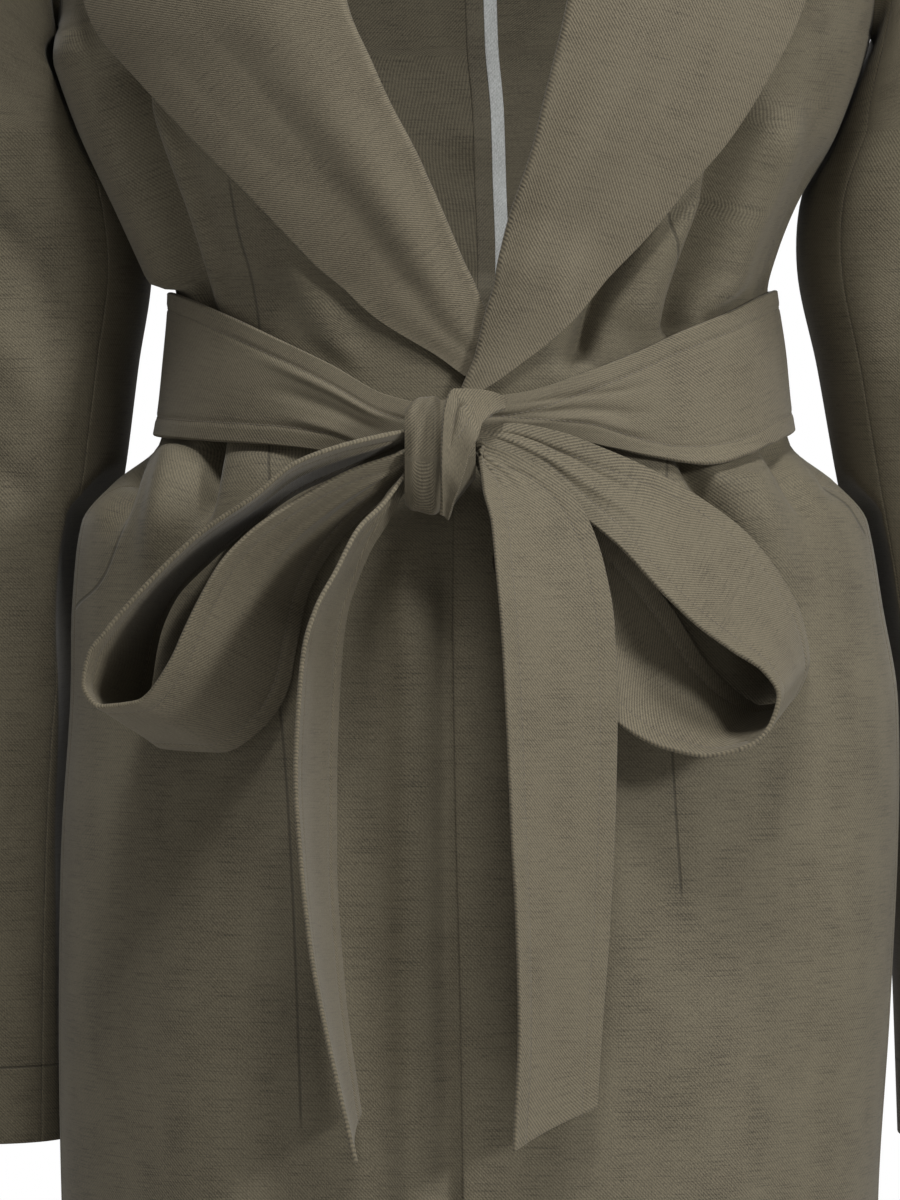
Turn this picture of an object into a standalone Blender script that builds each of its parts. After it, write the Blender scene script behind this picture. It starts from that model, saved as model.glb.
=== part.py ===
"""A long belted blazer, worn and hollow, tied in a bow over a wrap front.

The garment stands on no figure. One smooth body form, given by level sections, carries
every panel: a panel is a grid of points on the form between two boundaries, lifted off it
by its layer, with its large folds added. Sash, loops and ends are ribbons swept between a
near edge and a far edge.

Frame: +X is the wearer's left, the front faces -Y, +Z is up, and the origin is between the
neck points, where the wearer's neck and shoulders hold the garment up.
Tables are in millimetres. Blender's lengths are metres.
"""

import math
from collections import namedtuple

import bmesh
import bpy
from mathutils import Vector

MM = 0.001
GARMENT = "belted_blazer"

# Cloth
CLOTH = 1.3             # one layer of suiting with its fusing
TURNED = 1.9            # lapel and collar: cloth and facing turned out as one wall
SASH = 2.4              # sash: two layers and the allowance between them
TAPE = 1.0              # binding tape
SEAM_GAP = 0.3          # between pieces that meet or lie on each other
SLACK = 0.05            # added to half a gap, so that rounding never closes it
FACE_STEP = 0.5         # step for measuring the form's normal
SIDE_ROUND = 0.9        # radius of the form's side, as a share of its front depth

# Lengths, from the neck point down
SHOULDER_TIP = -45.0
ARMPIT = -246.0
NECK_BACK = -22.0       # neckline at the centre back
COLLAR_ROLL = 12.0      # top of the collar, above the neck point
STAND_SLOPE = 5.0       # the stand is lower at the sides of the neck by this
STAND_GAP = 1.0

COLOURS = {
    "cloth": (0.105, 0.090, 0.067),
    "lapel": (0.118, 0.102, 0.077),
    "sash": (0.125, 0.108, 0.082),
    "inside": (0.085, 0.073, 0.055),
    "tape": (0.560, 0.570, 0.510),
    "button": (0.020, 0.016, 0.012),
}

# Body form: horizontal sections, inner face of the cloth
Section = namedtuple("Section", "level centre half_width front back power")
FORM = [
    Section(16, 0, 70, 54, 58, 2.1),
    Section(0, 0, 80, 62, 65, 2.1),
    Section(-22, 0, 138, 66, 72, 2.2),
    Section(-45, 0, 195, 70, 84, 2.3),
    Section(-90, 0, 187, 92, 104, 2.3),
    Section(-130, 0, 182, 108, 112, 2.3),
    Section(-170, 0, 179, 119, 115, 2.3),
    Section(-210, -1, 176, 125, 115, 2.3),
    Section(-245, -4, 171, 127, 113, 2.3),
    Section(-265, -3, 164, 126, 110, 2.3),
    Section(-290, -3, 154, 123, 105, 2.3),
    Section(-316, -4, 140, 118, 99, 2.3),
    Section(-342, -3, 129, 111, 93, 2.3),
    Section(-355, -1, 124.5, 108, 91, 2.3),
    Section(-385, 0, 126.5, 104, 89, 2.3),
    Section(-419, 0, 133, 105, 93, 2.3),
    Section(-436, 0, 153, 108, 98, 2.3),
    Section(-452, 0, 166, 111, 104, 2.3),
    Section(-485, 1, 171, 114, 110, 2.3),
    Section(-528, 4, 175, 118, 116, 2.3),
    Section(-592, 2, 177, 123, 120, 2.3),
    Section(-656, 0, 176, 126, 121, 2.3),
    Section(-740, -2, 173, 128, 122, 2.3),
    Section(-830, -2, 171, 129, 122, 2.3),
]

# Rows of every panel, so that neighbours share their seams' corners
YOKE_LEVELS = [0, -4, -9, -15, -19, -22, -32, -45]
ARMHOLE_LEVELS = [-52, -66, -88, -114, -142, -170, -196, -218, -234, -243, -246]
BODY_LEVELS = [
    -264, -286, -308, -328, -342, -353, -366, -385, -404, -419, -428, -439, -453, -472,
    -498, -530, -572, -622, -680, -745, -815,
]
LEVELS = YOKE_LEVELS + ARMHOLE_LEVELS + BODY_LEVELS
FRONT_COLUMNS, BACK_COLUMNS = 14, 10

# Armhole: how far the front and back panels stop short of the side, in degrees
Bite = namedtuple("Bite", "level front back")
ARMHOLE = [
    Bite(-45, 0, 0),
    Bite(-52, 9, 8),
    Bite(-66, 16, 14),
    Bite(-88, 22, 19),
    Bite(-114, 25.5, 22),
    Bite(-142, 26.5, 23),
    Bite(-170, 26, 23),
    Bite(-196, 23, 21),
    Bite(-218, 18, 17),
    Bite(-234, 11, 10.5),
    Bite(-243, 5, 5),
    Bite(-246, 0, 0),
]

# Side seam, which comes forward to the pockets: degrees from the centre front
Seam = namedtuple("Seam", "level angle")
SIDE_SEAM = [
    Seam(-246, 90), Seam(-353, 86), Seam(-415, 82), Seam(-480, 79), Seam(-592, 80), Seam(-815, 82),
]

# Back neckline and front edges: x at each level, the fronts' following the roll line
Edge = namedtuple("Edge", "level x")
CENTRE_BACK = [
    Edge(-22, 0), Edge(-120, -4), Edge(-240, -1.6), Edge(-272, 1), Edge(-304, 2), Edge(-335, 3),
    Edge(-815, 0),
]
BACK_NECK = [Edge(0, 78), Edge(-4, 71), Edge(-9, 61), Edge(-15, 46), Edge(-19, 31), Edge(-22, 0.1)]
LEFT_EDGE = [
    Edge(0, 78), Edge(-20, 76), Edge(-50, 70), Edge(-110, 59), Edge(-180, 46), Edge(-239, 36),
    Edge(-282, 26), Edge(-327, 13), Edge(-368, 2), Edge(-398, -6), Edge(-430, -9), Edge(-480, -9),
    Edge(-560, -8), Edge(-650, -6), Edge(-815, -4),
]
RIGHT_EDGE = [
    Edge(0, -78), Edge(-20, -76), Edge(-50, -74), Edge(-110, -69), Edge(-180, -61), Edge(-239, -51),
    Edge(-267, -40), Edge(-309, -19), Edge(-341, -4), Edge(-360, 4), Edge(-398, 20), Edge(-430, 27),
    Edge(-480, 28), Edge(-815, 29),
]

# The left front lies on the right one: how far it stands off the form, and up to which x
Raise = namedtuple("Raise", "level lift")
WRAP_RAISE = [Raise(-325, 0), Raise(-350, 4.6), Raise(-398, 4.8), Raise(-418, 2.6), Raise(-815, 2.4)]
WRAP_FULL, WRAP_END = 31.0, 52.0

# Lapels and collar: stations up the roll line and round the back of the neck
Station = namedtuple("Station", "roll_x roll_level edge_x edge_level behind")
LEFT_LAPEL = [
    Station(-6, -397, 2, -397, False),
    Station(-3, -388, 15, -388, False),
    Station(2, -368, 35, -370, False),
    Station(7, -350, 51, -352, False),
    Station(12, -328, 69, -332, False),
    Station(19, -308, 86, -311, False),
    Station(26, -282, 107, -285, False),
    Station(31, -262, 120, -263, False),
    Station(36, -239, 131, -238, False),
    Station(41, -208, 139, -207, False),
    Station(49, -165, 144, -163, False),
    Station(59, -110, 146, -108, False),
]
RIGHT_LAPEL = [
    Station(19, -396, -4, -391, False),
    Station(14, -385, -16, -382, False),
    Station(5, -364, -43, -364, False),
    Station(-3, -345, -62, -346, False),
    Station(-12, -325, -80, -327, False),
    Station(-21, -305, -100, -306, False),
    Station(-34, -280, -124, -281, False),
    Station(-44, -258, -144, -258, False),
    Station(-52, -236, -157, -236, False),
    Station(-57, -205, -161, -204, False),
    Station(-63, -165, -160, -163, False),
    Station(-69, -110, -157, -108, False),
]
COLLAR = [                        # wearer's left half; the other is its mirror image
    Station(69, -60, 147, -62, False),
    Station(75, -24, 143, -34, False),
    Station(79.5, 4, 140, -23, False),
    Station(72, 10, 133, -38, True),
    Station(56, 12, 113, -58, True),
    Station(30, 12, 68, -74, True),
    Station(0.01, 12, 0.01, -80, True),
]
LAPEL_STATIONS = 30
LAPEL_COLUMNS = 6
COLLAR_STANDOFF = 4.6             # the collar stands clear of the shoulders
LAPEL_GAP = 0.8
LAPEL_ROLL_RISE = 3.2             # soft roll, highest a quarter of the way out
LAPEL_EDGE_RISE = 1.2
LAPEL_BREAK = 0.22                # share of the roll line over which the roll opens
COLLAR_FROM, COLLAR_FULL = 0.35, 0.62     # where the standoff starts and is complete

# Large folds of the body: a line down the cloth, its width and its height (ridge +, trough -)
Fold = namedtuple("Fold", "x_top top x_foot foot width height")
FOLD_FADE = 24.0                  # folds die out this far from the middle of the sides
FOLD_START, FOLD_RISEN, FOLD_FALLING = -0.02, 0.28, 0.7     # shares of a fold's length
FRONT_FOLDS = [
    Fold(-160, -250, -120, -348, 15, 9.0),    # roll of cloth beside the right sleeve
    Fold(-129, -272, -106, -352, 13, -8.0),   # trough inside it
    Fold(-100, -300, -90, -352, 13, 3.5),
    Fold(72, -316, 44, -372, 14, -7.0),       # draw lines to the knot
    Fold(108, -282, 84, -352, 14, -7.0),
    Fold(132, -272, 113, -346, 14, 6.0),
    Fold(-139, -422, -147, -452, 9, -6.0),    # gathers under the sash
    Fold(-119, -422, -131, -470, 10, 5.0),
    Fold(-102, -422, -106, -462, 9, -6.0),
    Fold(-60, -450, -64, -600, 16, 3.0),
    Fold(97, -424, 110, -472, 10, -6.0),
    Fold(122, -424, 137, -480, 11, 4.0),
    Fold(-29, -440, -31, -800, 12, 4.0),      # soft pleat beside the front edge
    Fold(72, -560, 84, -800, 20, 3.0),
    Fold(-115, -560, -112, -800, 20, 3.0),
]
BACK_FOLDS = [
    Fold(-105, -225, -86, -342, 13, 5.0),
    Fold(110, -235, 88, -342, 13, 5.0),
    Fold(-56, -290, -50, -350, 12, -4.0),
    Fold(62, -280, 54, -350, 12, -4.0),
    Fold(-95, -423, -104, -500, 12, 4.0),
    Fold(-45, -423, -52, -560, 13, 4.0),
    Fold(58, -423, 66, -580, 13, 4.5),
    Fold(104, -423, 116, -490, 12, 3.5),
    Fold(-70, -560, -78, -800, 20, 3.0),
    Fold(84, -560, 88, -800, 20, 3.0),
]

# Sash round the waist, from the knot to the centre back: by degrees from the centre front
Sash = namedtuple("Sash", "angle top foot lift")
LEFT_SASH = [
    Sash(-6, -402, -414, 7.2),
    Sash(6, -398, -416, 7.0),
    Sash(16, -390, -418, 6.0),
    Sash(27, -381, -425, 3.6),
    Sash(38, -372, -429, 3.0),
    Sash(52, -364, -425, 3.2),
    Sash(70, -356, -417, 3.2),
    Sash(90, -353, -414, 2.6),
    Sash(120, -353, -414, 2.6),
    Sash(150, -353, -415, 2.4),
    Sash(180, -353, -415, 2.4),
]
RIGHT_SASH = [
    Sash(-8, -402, -429, 3.4),
    Sash(-14, -398, -428, 3.2),
    Sash(-24, -386, -422, 2.8),
    Sash(-36, -375, -419, 2.4),
    Sash(-50, -365, -418, 2.4),
    Sash(-68, -357, -417, 2.4),
    Sash(-90, -353, -416, 2.6),
    Sash(-120, -353, -415, 2.6),
    Sash(-150, -353, -415, 2.4),
    Sash(-180, -353, -415, 2.4),
]
SASH_STATIONS = 26
SASH_ROWS = 5
SASH_PUFF = 1.5                   # the sash stands proud along its middle

# Ribbons: a near edge and a far edge, station by station
Pair = namedtuple("Pair", "near_x near_y near_z far_x far_y far_z")
LOOP_RIGHT = [
    Pair(-30, -136, -413, -30, -121, -420),
    Pair(-39, -146, -415, -39, -117, -424),
    Pair(-55, -154, -419, -55, -114, -430),
    Pair(-73, -159, -426, -73, -108, -438),
    Pair(-89, -158, -439, -90, -102, -450),
    Pair(-111, -152, -454, -110, -97, -467),
    Pair(-133, -146, -475, -124, -92, -482),
    Pair(-149, -142, -493, -131, -88, -499),
    Pair(-157, -140, -504, -134, -87, -517),
    Pair(-159, -139, -515, -136, -87, -529),
    Pair(-152, -139, -524, -129, -93, -543),
    Pair(-137, -144, -522, -104, -108, -544),
    Pair(-123, -152, -505, -81, -116, -527),
    Pair(-117, -154, -492, -76, -117, -516),
    Pair(-110, -155, -478, -73, -118, -500),
    Pair(-102, -156, -465, -69, -117, -481),
    Pair(-89, -156, -452, -62, -117, -466),
    Pair(-71, -151, -440, -49, -118, -450),
    Pair(-51, -143, -429, -38, -122, -440),
    Pair(-31, -135, -422, -31, -126, -431),
]
LOOP_LEFT = [
    Pair(2, -130, -417, 4, -121, -411),
    Pair(12, -126, -423, 16, -120, -410),
    Pair(26, -125, -433, 33, -119, -413),
    Pair(41, -127, -446, 52, -117, -420),
    Pair(57, -137, -459, 70, -113, -428),
    Pair(74, -150, -477, 91, -105, -440),
    Pair(90, -148, -492, 111, -97, -455),
    Pair(104, -144, -502, 126, -92, -474),
    Pair(116, -142, -510, 134, -90, -490),
    Pair(122, -143, -520, 137, -90, -507),
    Pair(119, -144, -531, 134, -92, -517),
    Pair(110, -146, -540, 128, -96, -524),
    Pair(93, -146, -544, 118, -100, -526),
    Pair(76, -143, -541, 107, -106, -520),
    Pair(57, -138, -531, 94, -110, -507),
    Pair(42, -132, -514, 80, -114, -485),
    Pair(28, -128, -490, 65, -117, -466),
    Pair(16, -127, -465, 47, -118, -449),
    Pair(8, -127, -445, 28, -120, -433),
    Pair(2, -129, -430, 5, -122, -424),
]
TAIL_LEFT = [
    Pair(2, -140, -426, 5, -135, -418),
    Pair(3, -146, -437, 29, -131, -429),
    Pair(6, -154, -449, 44, -133, -446),
    Pair(8, -163, -469, 52, -137, -468),
    Pair(10, -169, -492, 56, -141, -493),
    Pair(12, -173, -528, 57, -143, -530),
    Pair(14, -173, -573, 56, -141, -575),
    Pair(16, -172, -612, 54, -139, -615),
    Pair(17, -171, -652, 51, -138, -656),
    Pair(15, -170, -701, 49, -138, -687),
]
TAIL_RIGHT = [
    Pair(-31, -134, -434, -31, -124, -441),
    Pair(-37, -142, -442, -36, -123, -450),
    Pair(-47, -152, -452, -43, -121, -461),
    Pair(-56, -164, -469, -49, -119, -475),
    Pair(-64, -171, -484, -53, -119, -488),
    Pair(-69, -175, -502, -55, -121, -505),
    Pair(-72, -178, -550, -57, -125, -554),
    Pair(-70, -178, -584, -57, -128, -588),
    Pair(-66, -178, -620, -55, -130, -624),
    Pair(-60, -178, -652, -52, -131, -655),
    Pair(-54, -178, -679, -49, -132, -676),
    Pair(-48, -176, -705, -47, -132, -690),
]
KNOT_BAND = [
    Pair(13, -120, -400, 12, -123, -404),
    Pair(6, -126, -397, 7, -133, -406),
    Pair(-2, -133, -396, 2, -142, -411),
    Pair(-9, -140, -396, 1, -147, -415),
    Pair(-13, -146, -405, -2, -149, -421),
    Pair(-14, -149, -423, -6, -148, -434),
    Pair(-14, -146, -436, -9, -144, -442),
    Pair(-14, -141, -447, -11, -138, -449),
]
RIBBON_ROWS = 4

# Each ribbon: its edges, how many stations it gets and how far its middle stands out
Ribbon = namedtuple("Ribbon", "name pairs stations crown")
RIBBONS = [
    Ribbon("loop_left", LOOP_LEFT, 40, 0.0),
    Ribbon("loop_right", LOOP_RIGHT, 40, 0.0),
    Ribbon("tail_left", TAIL_LEFT, 18, -2.5),
    Ribbon("tail_right", TAIL_RIGHT, 20, -2.0),
    Ribbon("knot_band", KNOT_BAND, 15, -1.0),
]

# Knot: a band wound round the crossing, lying along X
Wind = namedtuple("Wind", "x half_height half_depth")
KNOT = [
    Wind(-29, 19, 9),
    Wind(-25, 22.5, 11.5),
    Wind(-17, 24, 12.5),
    Wind(-8, 22.5, 12.5),
    Wind(-3, 19.5, 11.5),
    Wind(0, 16, 9.5),
]
KNOT_Y, KNOT_Z, KNOT_POWER, KNOT_POINTS = -129.5, -423.0, 2.5, 18

# Sleeves, wearer's right; the left one swings out by the last column
Arm = namedtuple("Arm", "level inner outer centre_y half_depth left_swing clearance")
SLEEVE = [
    Arm(-286, 152, 243, 22, 58, -1, 2.5),
    Arm(-316, 142, 241, 26, 57, -2, 3.0),
    Arm(-342, 139, 240, 29, 56, 0, 4.0),
    Arm(-385, 145, 242, 33, 55, 3, 5.0),
    Arm(-423, 150, 246, 37, 54, 5, 7.0),
    Arm(-480, 159, 251, 42, 52, 7, 8.5),
    Arm(-560, 168, 256, 48, 50, 9, 6.5),
    Arm(-640, 171, 259, 52, 48, 11, 5.5),
    Arm(-719, 172, 261, 54, 46, 13, 5.5),
]
SLEEVE_LEVELS = [-286, -304, -322, -342, -366, -394, -424, -465, -515, -575, -645, -719]
CAP_STEPS = [0.0, 0.1, 0.25, 0.44, 0.63, 0.82]
CAP_REACH = 0.85                  # how far the sleeve head stands out before it turns down
CAP_LIFT = 0.30                   # and how far it rises
CAP_DEPTH, CAP_HEIGHT = 57, 100   # the armhole's half sizes, which set each column's turn
UNDER_SPREAD = 3                  # columns from the underarm point to either sleeve seam
ARM_POWER = 2.2
STEEPEST = 0.35                   # a body face turned further from the sleeve counts as this much
ARMHOLE_EASE = 0.4                # the sleeve's edge sits this much inside the armhole's

# Inside the back
ALLOWANCE_WIDTH, ALLOWANCE_TOP, ALLOWANCE_FOOT = 12.5, -30.0, -800.0
TAPE_WIDTH = 6.0

BUTTON_X, BUTTON_LEVEL = 16.5, -467.0
BUTTON_RADIUS, BUTTON_THICK, BUTTON_BEVEL, BUTTON_SIDES = 10.0, 3.2, 0.9, 24


def clear_scene():
    """Remove whatever the file holds."""
    for thing in list(bpy.data.objects):
        bpy.data.objects.remove(thing, do_unlink=True)


def garment_collection():
    """The collection that the garment's pieces go in."""
    collection = bpy.data.collections.get(GARMENT) or bpy.data.collections.new(GARMENT)
    if collection.name not in bpy.context.scene.collection.children:
        bpy.context.scene.collection.children.link(collection)
    return collection


def finish(name):
    """A plain cloth, tape or button material."""
    material = bpy.data.materials.get(name) or bpy.data.materials.new(name)
    material.use_nodes = True
    shader = material.node_tree.nodes["Principled BSDF"]
    shader.inputs["Base Color"].default_value = (*COLOURS[name], 1.0)
    shader.inputs["Roughness"].default_value = 0.35 if name == "button" else 0.85
    shader.inputs["Metallic"].default_value = 0.0
    return material


def smooth(keys, values, at):
    """Value at a key on a curve that never overshoots its rows. Keys may rise or fall."""
    if keys[0] > keys[-1]:
        keys, values = keys[::-1], values[::-1]
    if at <= keys[0]:
        return values[0]
    if at >= keys[-1]:
        return values[-1]
    steps = [b - a for a, b in zip(keys, keys[1:])]
    slopes = [(b - a) / step for a, b, step in zip(values, values[1:], steps)]
    place = max(i for i, key in enumerate(keys[:-1]) if key <= at)

    def tangent(i):
        if i == 0:
            return slopes[0]
        if i == len(keys) - 1:
            return slopes[-1]
        before, after = slopes[i - 1], slopes[i]
        if before * after <= 0:
            return 0.0
        return 2 * before * after / (before + after)

    span = steps[place]
    t = (at - keys[place]) / span
    return (
        (2 * t**3 - 3 * t**2 + 1) * values[place]
        + (t**3 - 2 * t**2 + t) * span * tangent(place)
        + (3 * t**2 - 2 * t**3) * values[place + 1]
        + (t**3 - t**2) * span * tangent(place + 1)
    )


def look_up(table, column, at):
    """One column of a table at a key, the key being the table's first column."""
    return smooth([row[0] for row in table], [getattr(row, column) for row in table], at)


def along(table, column, share):
    """One column of a table at a share, 0 to 1, of the way down its rows."""
    count = len(table) - 1
    return smooth(list(range(count + 1)), [getattr(row, column) for row in table], share * count)


def smoothstep(low, high, at):
    """0 below low, 1 above high, and a soft step between."""
    t = min(1.0, max(0.0, (at - low) / (high - low)))
    return t * t * (3 - 2 * t)


def signed_power(value, power):
    return math.copysign(abs(value) ** power, value)


def section(level):
    """The form's section at a level."""
    return Section(level, *(look_up(FORM, column, level) for column in Section._fields[1:]))


def form_point(angle, level):
    """Point of the body form; the angle runs from the centre front to the wearer's left."""
    here = section(level)
    side, fore = math.sin(math.radians(angle)), math.cos(math.radians(angle))
    depth = here.front if fore > 0 else here.back
    x = here.centre + here.half_width * signed_power(side, 2 / here.power)
    return Vector((x, -depth * signed_power(fore, 2 / here.power), level))


def form_normal(angle, level):
    """Outward normal of the body form."""
    across = form_point(angle + FACE_STEP, level) - form_point(angle - FACE_STEP, level)
    up = form_point(angle, level + FACE_STEP) - form_point(angle, level - FACE_STEP)
    return across.cross(up).normalized()


def angle_at(x, level, behind=False):
    """Angle of the form's point at x, on its front or its back."""
    here = section(level)
    share = max(-1.0, min(1.0, (x - here.centre) / here.half_width))
    angle = math.degrees(math.asin(signed_power(share, here.power / 2)))
    if not behind:
        return angle
    return 180 - angle if x >= 0 else -180 - angle


def fold_lift(point):
    """Height of the large folds at a point of the form."""
    lift = 0.0
    for fold in FRONT_FOLDS if point.y < 0 else BACK_FOLDS:
        run_x, run_z = fold.x_foot - fold.x_top, fold.foot - fold.top
        t = ((point.x - fold.x_top) * run_x + (point.z - fold.top) * run_z) / (run_x**2 + run_z**2)
        held = min(1.0, max(0.0, t))
        across = math.hypot(point.x - fold.x_top - held * run_x, point.z - fold.top - held * run_z)
        ends = smoothstep(FOLD_START, FOLD_RISEN, t) * (1 - smoothstep(FOLD_FALLING, 1.0, t))
        lift += fold.height * math.exp(-((across / fold.width) ** 2)) * ends
    return lift * smoothstep(0, FOLD_FADE, abs(point.y))


def wrap_raise(x, level):
    """How far the left front stands off the form where it crosses the right one."""
    return look_up(WRAP_RAISE, "lift", level) * (1 - smoothstep(WRAP_FULL, WRAP_END, x))


def on_form(angle, level, lift=0.0, folds=True):
    """Point of a layer that lies on the body form."""
    point = form_point(angle, level)
    if folds:
        lift += fold_lift(point)
    return point + form_normal(angle, level) * lift


def gap_angle(level):
    """Half a seam's gap, in degrees, round the side of the form."""
    return math.degrees((SEAM_GAP / 2 + SLACK) / (SIDE_ROUND * section(level).front))


def cloth(name, grid, wall, finish_name, closed=False, side=1.0):
    """Make a grid of points a closed wall of cloth. side 1 thickens it towards its face."""
    mesh = bpy.data.meshes.new(name)
    shell = bmesh.new()
    rows = [[shell.verts.new(point * MM) for point in row] for row in grid]
    for upper, lower in zip(rows, rows[1:]):
        ends = list(range(len(upper))) + ([0] if closed else [])
        for i, j in zip(ends, ends[1:]):
            shell.faces.new((upper[i], lower[i], lower[j], upper[j]))
    shell.to_mesh(mesh)
    shell.free()
    mesh.shade_smooth()
    mesh.materials.append(finish(finish_name))
    piece = bpy.data.objects.new(name, mesh)
    garment_collection().objects.link(piece)
    wall_maker = piece.modifiers.new("wall", "SOLIDIFY")
    wall_maker.thickness = wall * MM
    wall_maker.offset = side
    return piece


def panel_grid(levels, start, end, columns, lift):
    """Points on the form between two boundaries, given as angles by level."""
    grid = []
    for level in levels:
        first, last = start(level), end(level)
        angles = [first + (last - first) * i / (columns - 1) for i in range(columns)]
        grid.append([on_form(angle, level, lift(angle, level)) for angle in angles])
    return grid


def outer_boundary(level, part):
    """Angle where a panel ends at the shoulder seam, armhole or side seam (left side)."""
    if level >= SHOULDER_TIP:
        return 90.0
    if level >= ARMPIT:
        bite = look_up(ARMHOLE, part, level)
        return 90.0 - bite if part == "front" else 90.0 + bite
    return look_up(SIDE_SEAM, "angle", level)


def make_fronts():
    """Two fronts; the wearer's left one wraps over the right one."""
    def left_lift(angle, level):
        return wrap_raise(form_point(angle, level).x, level)

    left = panel_grid(
        LEVELS,
        lambda level: angle_at(look_up(LEFT_EDGE, "x", level), level),
        lambda level: outer_boundary(level, "front") - gap_angle(level),
        FRONT_COLUMNS,
        left_lift,
    )
    right = panel_grid(
        LEVELS,
        lambda level: -outer_boundary(level, "front") + gap_angle(level),
        lambda level: angle_at(look_up(RIGHT_EDGE, "x", level), level),
        FRONT_COLUMNS,
        lambda angle, level: 0.0,
    )
    cloth("front_left", left, CLOTH, "cloth")
    cloth("front_right", right, CLOTH, "cloth")


def neck_angle(level, side=1):
    """Angle of the back neckline, or of the centre-back seam below it, from the front."""
    if level > NECK_BACK:
        return angle_at(look_up(BACK_NECK, "x", level), level, True)
    centre = section(level).centre
    seam = side * (look_up(CENTRE_BACK, "x", level) - centre) + SEAM_GAP / 2 + SLACK
    return 180.0 - angle_at(centre + seam, level)


def back_angles(level, side=1):
    """Columns of a half back from side to centre; the last is wider than the allowance."""
    start, centre = outer_boundary(level, "back") + gap_angle(level), neck_angle(level, side)
    last = centre - math.degrees(ALLOWANCE_WIDTH / section(level).half_width)
    if level > NECK_BACK:
        last = centre - (centre - start) / (BACK_COLUMNS - 1)
    steps = BACK_COLUMNS - 2
    return [start + (last - start) * i / steps for i in range(steps + 1)] + [centre]


def make_backs():
    """Two back panels, with a seam down the centre and a curved neckline."""
    left = [[on_form(angle, level) for angle in back_angles(level)] for level in LEVELS]
    right = [[on_form(-angle, level) for angle in reversed(back_angles(level, -1))] for level in LEVELS]
    cloth("back_left", left, CLOTH, "cloth")
    cloth("back_right", right, CLOTH, "cloth")


def lapel_point(stations, share, across, on_top):
    """Point of a lapel: share runs up the roll line, across runs from it to the edge."""
    roll_angles = [angle_at(s.roll_x, s.roll_level, s.behind) for s in stations]
    edge_angles = [angle_at(s.edge_x, s.edge_level, s.behind) for s in stations]
    keys = list(range(len(stations)))
    at = share * keys[-1]
    roll_angle, edge_angle = smooth(keys, roll_angles, at), smooth(keys, edge_angles, at)
    roll_level, edge_level = along(stations, "roll_level", share), along(stations, "edge_level", share)
    angle = roll_angle + (edge_angle - roll_angle) * across
    level = roll_level + (edge_level - roll_level) * across
    point = form_point(angle, level)
    rise = LAPEL_ROLL_RISE * math.sin(math.pi * min(1.0, across * 2)) ** 2 * (1 - across)
    rise = rise + LAPEL_EDGE_RISE * across
    near_break = smoothstep(0.0, LAPEL_BREAK, share)
    lift = CLOTH + LAPEL_GAP + rise * near_break + max(0.0, fold_lift(point))
    lift += COLLAR_STANDOFF * smoothstep(COLLAR_FROM, COLLAR_FULL, share)
    if on_top:
        lift += wrap_raise(point.x, level)
    return point + form_normal(angle, level) * lift


def make_lapel(name, stations, on_top):
    """A lapel that goes on as half of the collar, to the centre-back seam."""
    grid = []
    for i in range(LAPEL_STATIONS):
        share = i / (LAPEL_STATIONS - 1)
        grid.append([
            lapel_point(stations, share, j / (LAPEL_COLUMNS - 1), on_top) for j in range(LAPEL_COLUMNS)
        ])
    half_gap = SEAM_GAP / 2 + SLACK
    for point in grid[-1]:
        point.x = half_gap if stations[-2].roll_x > 0 else -half_gap
    if stations[0].edge_x > stations[0].roll_x:
        grid.reverse()
    cloth(name, grid, TURNED, "lapel")


def make_collar():
    """Lapels with their collar halves, and the stand's two halves between neckline and roll."""
    mirrored = [s._replace(roll_x=-s.roll_x, edge_x=-s.edge_x) for s in COLLAR]
    make_lapel("lapel_left", LEFT_LAPEL + COLLAR, True)
    make_lapel("lapel_right", RIGHT_LAPEL + mirrored, False)
    corners = [(neck_angle(row.level), row.level) for row in BACK_NECK[:-1]]
    corners += [(180.0, NECK_BACK)]
    grid = []
    for share in (1.0, 0.5, 0.0):
        row = []
        for angle, level in corners:
            foot = level + STAND_GAP
            top = COLLAR_ROLL - STAND_SLOPE * (1 - smoothstep(100, 150, angle))
            row.append(on_form(angle, foot + (top - foot) * share, 0.0, False))
        row[-1].x = SEAM_GAP / 2 + SLACK
        grid.append(row)
    other_half = [[Vector((-point.x, point.y, point.z)) for point in reversed(row)] for row in grid]
    cloth("collar_stand_left", grid, CLOTH, "inside")
    cloth("collar_stand_right", other_half, CLOTH, "inside")


def arm_section(level, left):
    """Centre x, centre y, half width and half depth of a sleeve at a level."""
    swing = look_up(SLEEVE, "left_swing", level) if left else 0.0
    inner = look_up(SLEEVE, "inner", level) + swing
    outer = look_up(SLEEVE, "outer", level) + swing
    centre_y, half_depth = look_up(SLEEVE, "centre_y", level), look_up(SLEEVE, "half_depth", level)
    return (inner + outer) / 2, centre_y, (outer - inner) / 2, half_depth


def arm_point(turn, level, left):
    """Sleeve point; turn runs from the outside over the front to the body side and back."""
    x, y, half_width, half_depth = arm_section(level, left)
    half_width, half_depth = half_width - CLOTH, half_depth - CLOTH
    point = Vector((
        x + half_width * signed_power(math.cos(turn), 2 / ARM_POWER),
        y - half_depth * signed_power(math.sin(turn), 2 / ARM_POWER),
        level,
    ))
    return clear_of_body(point, left)


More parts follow.
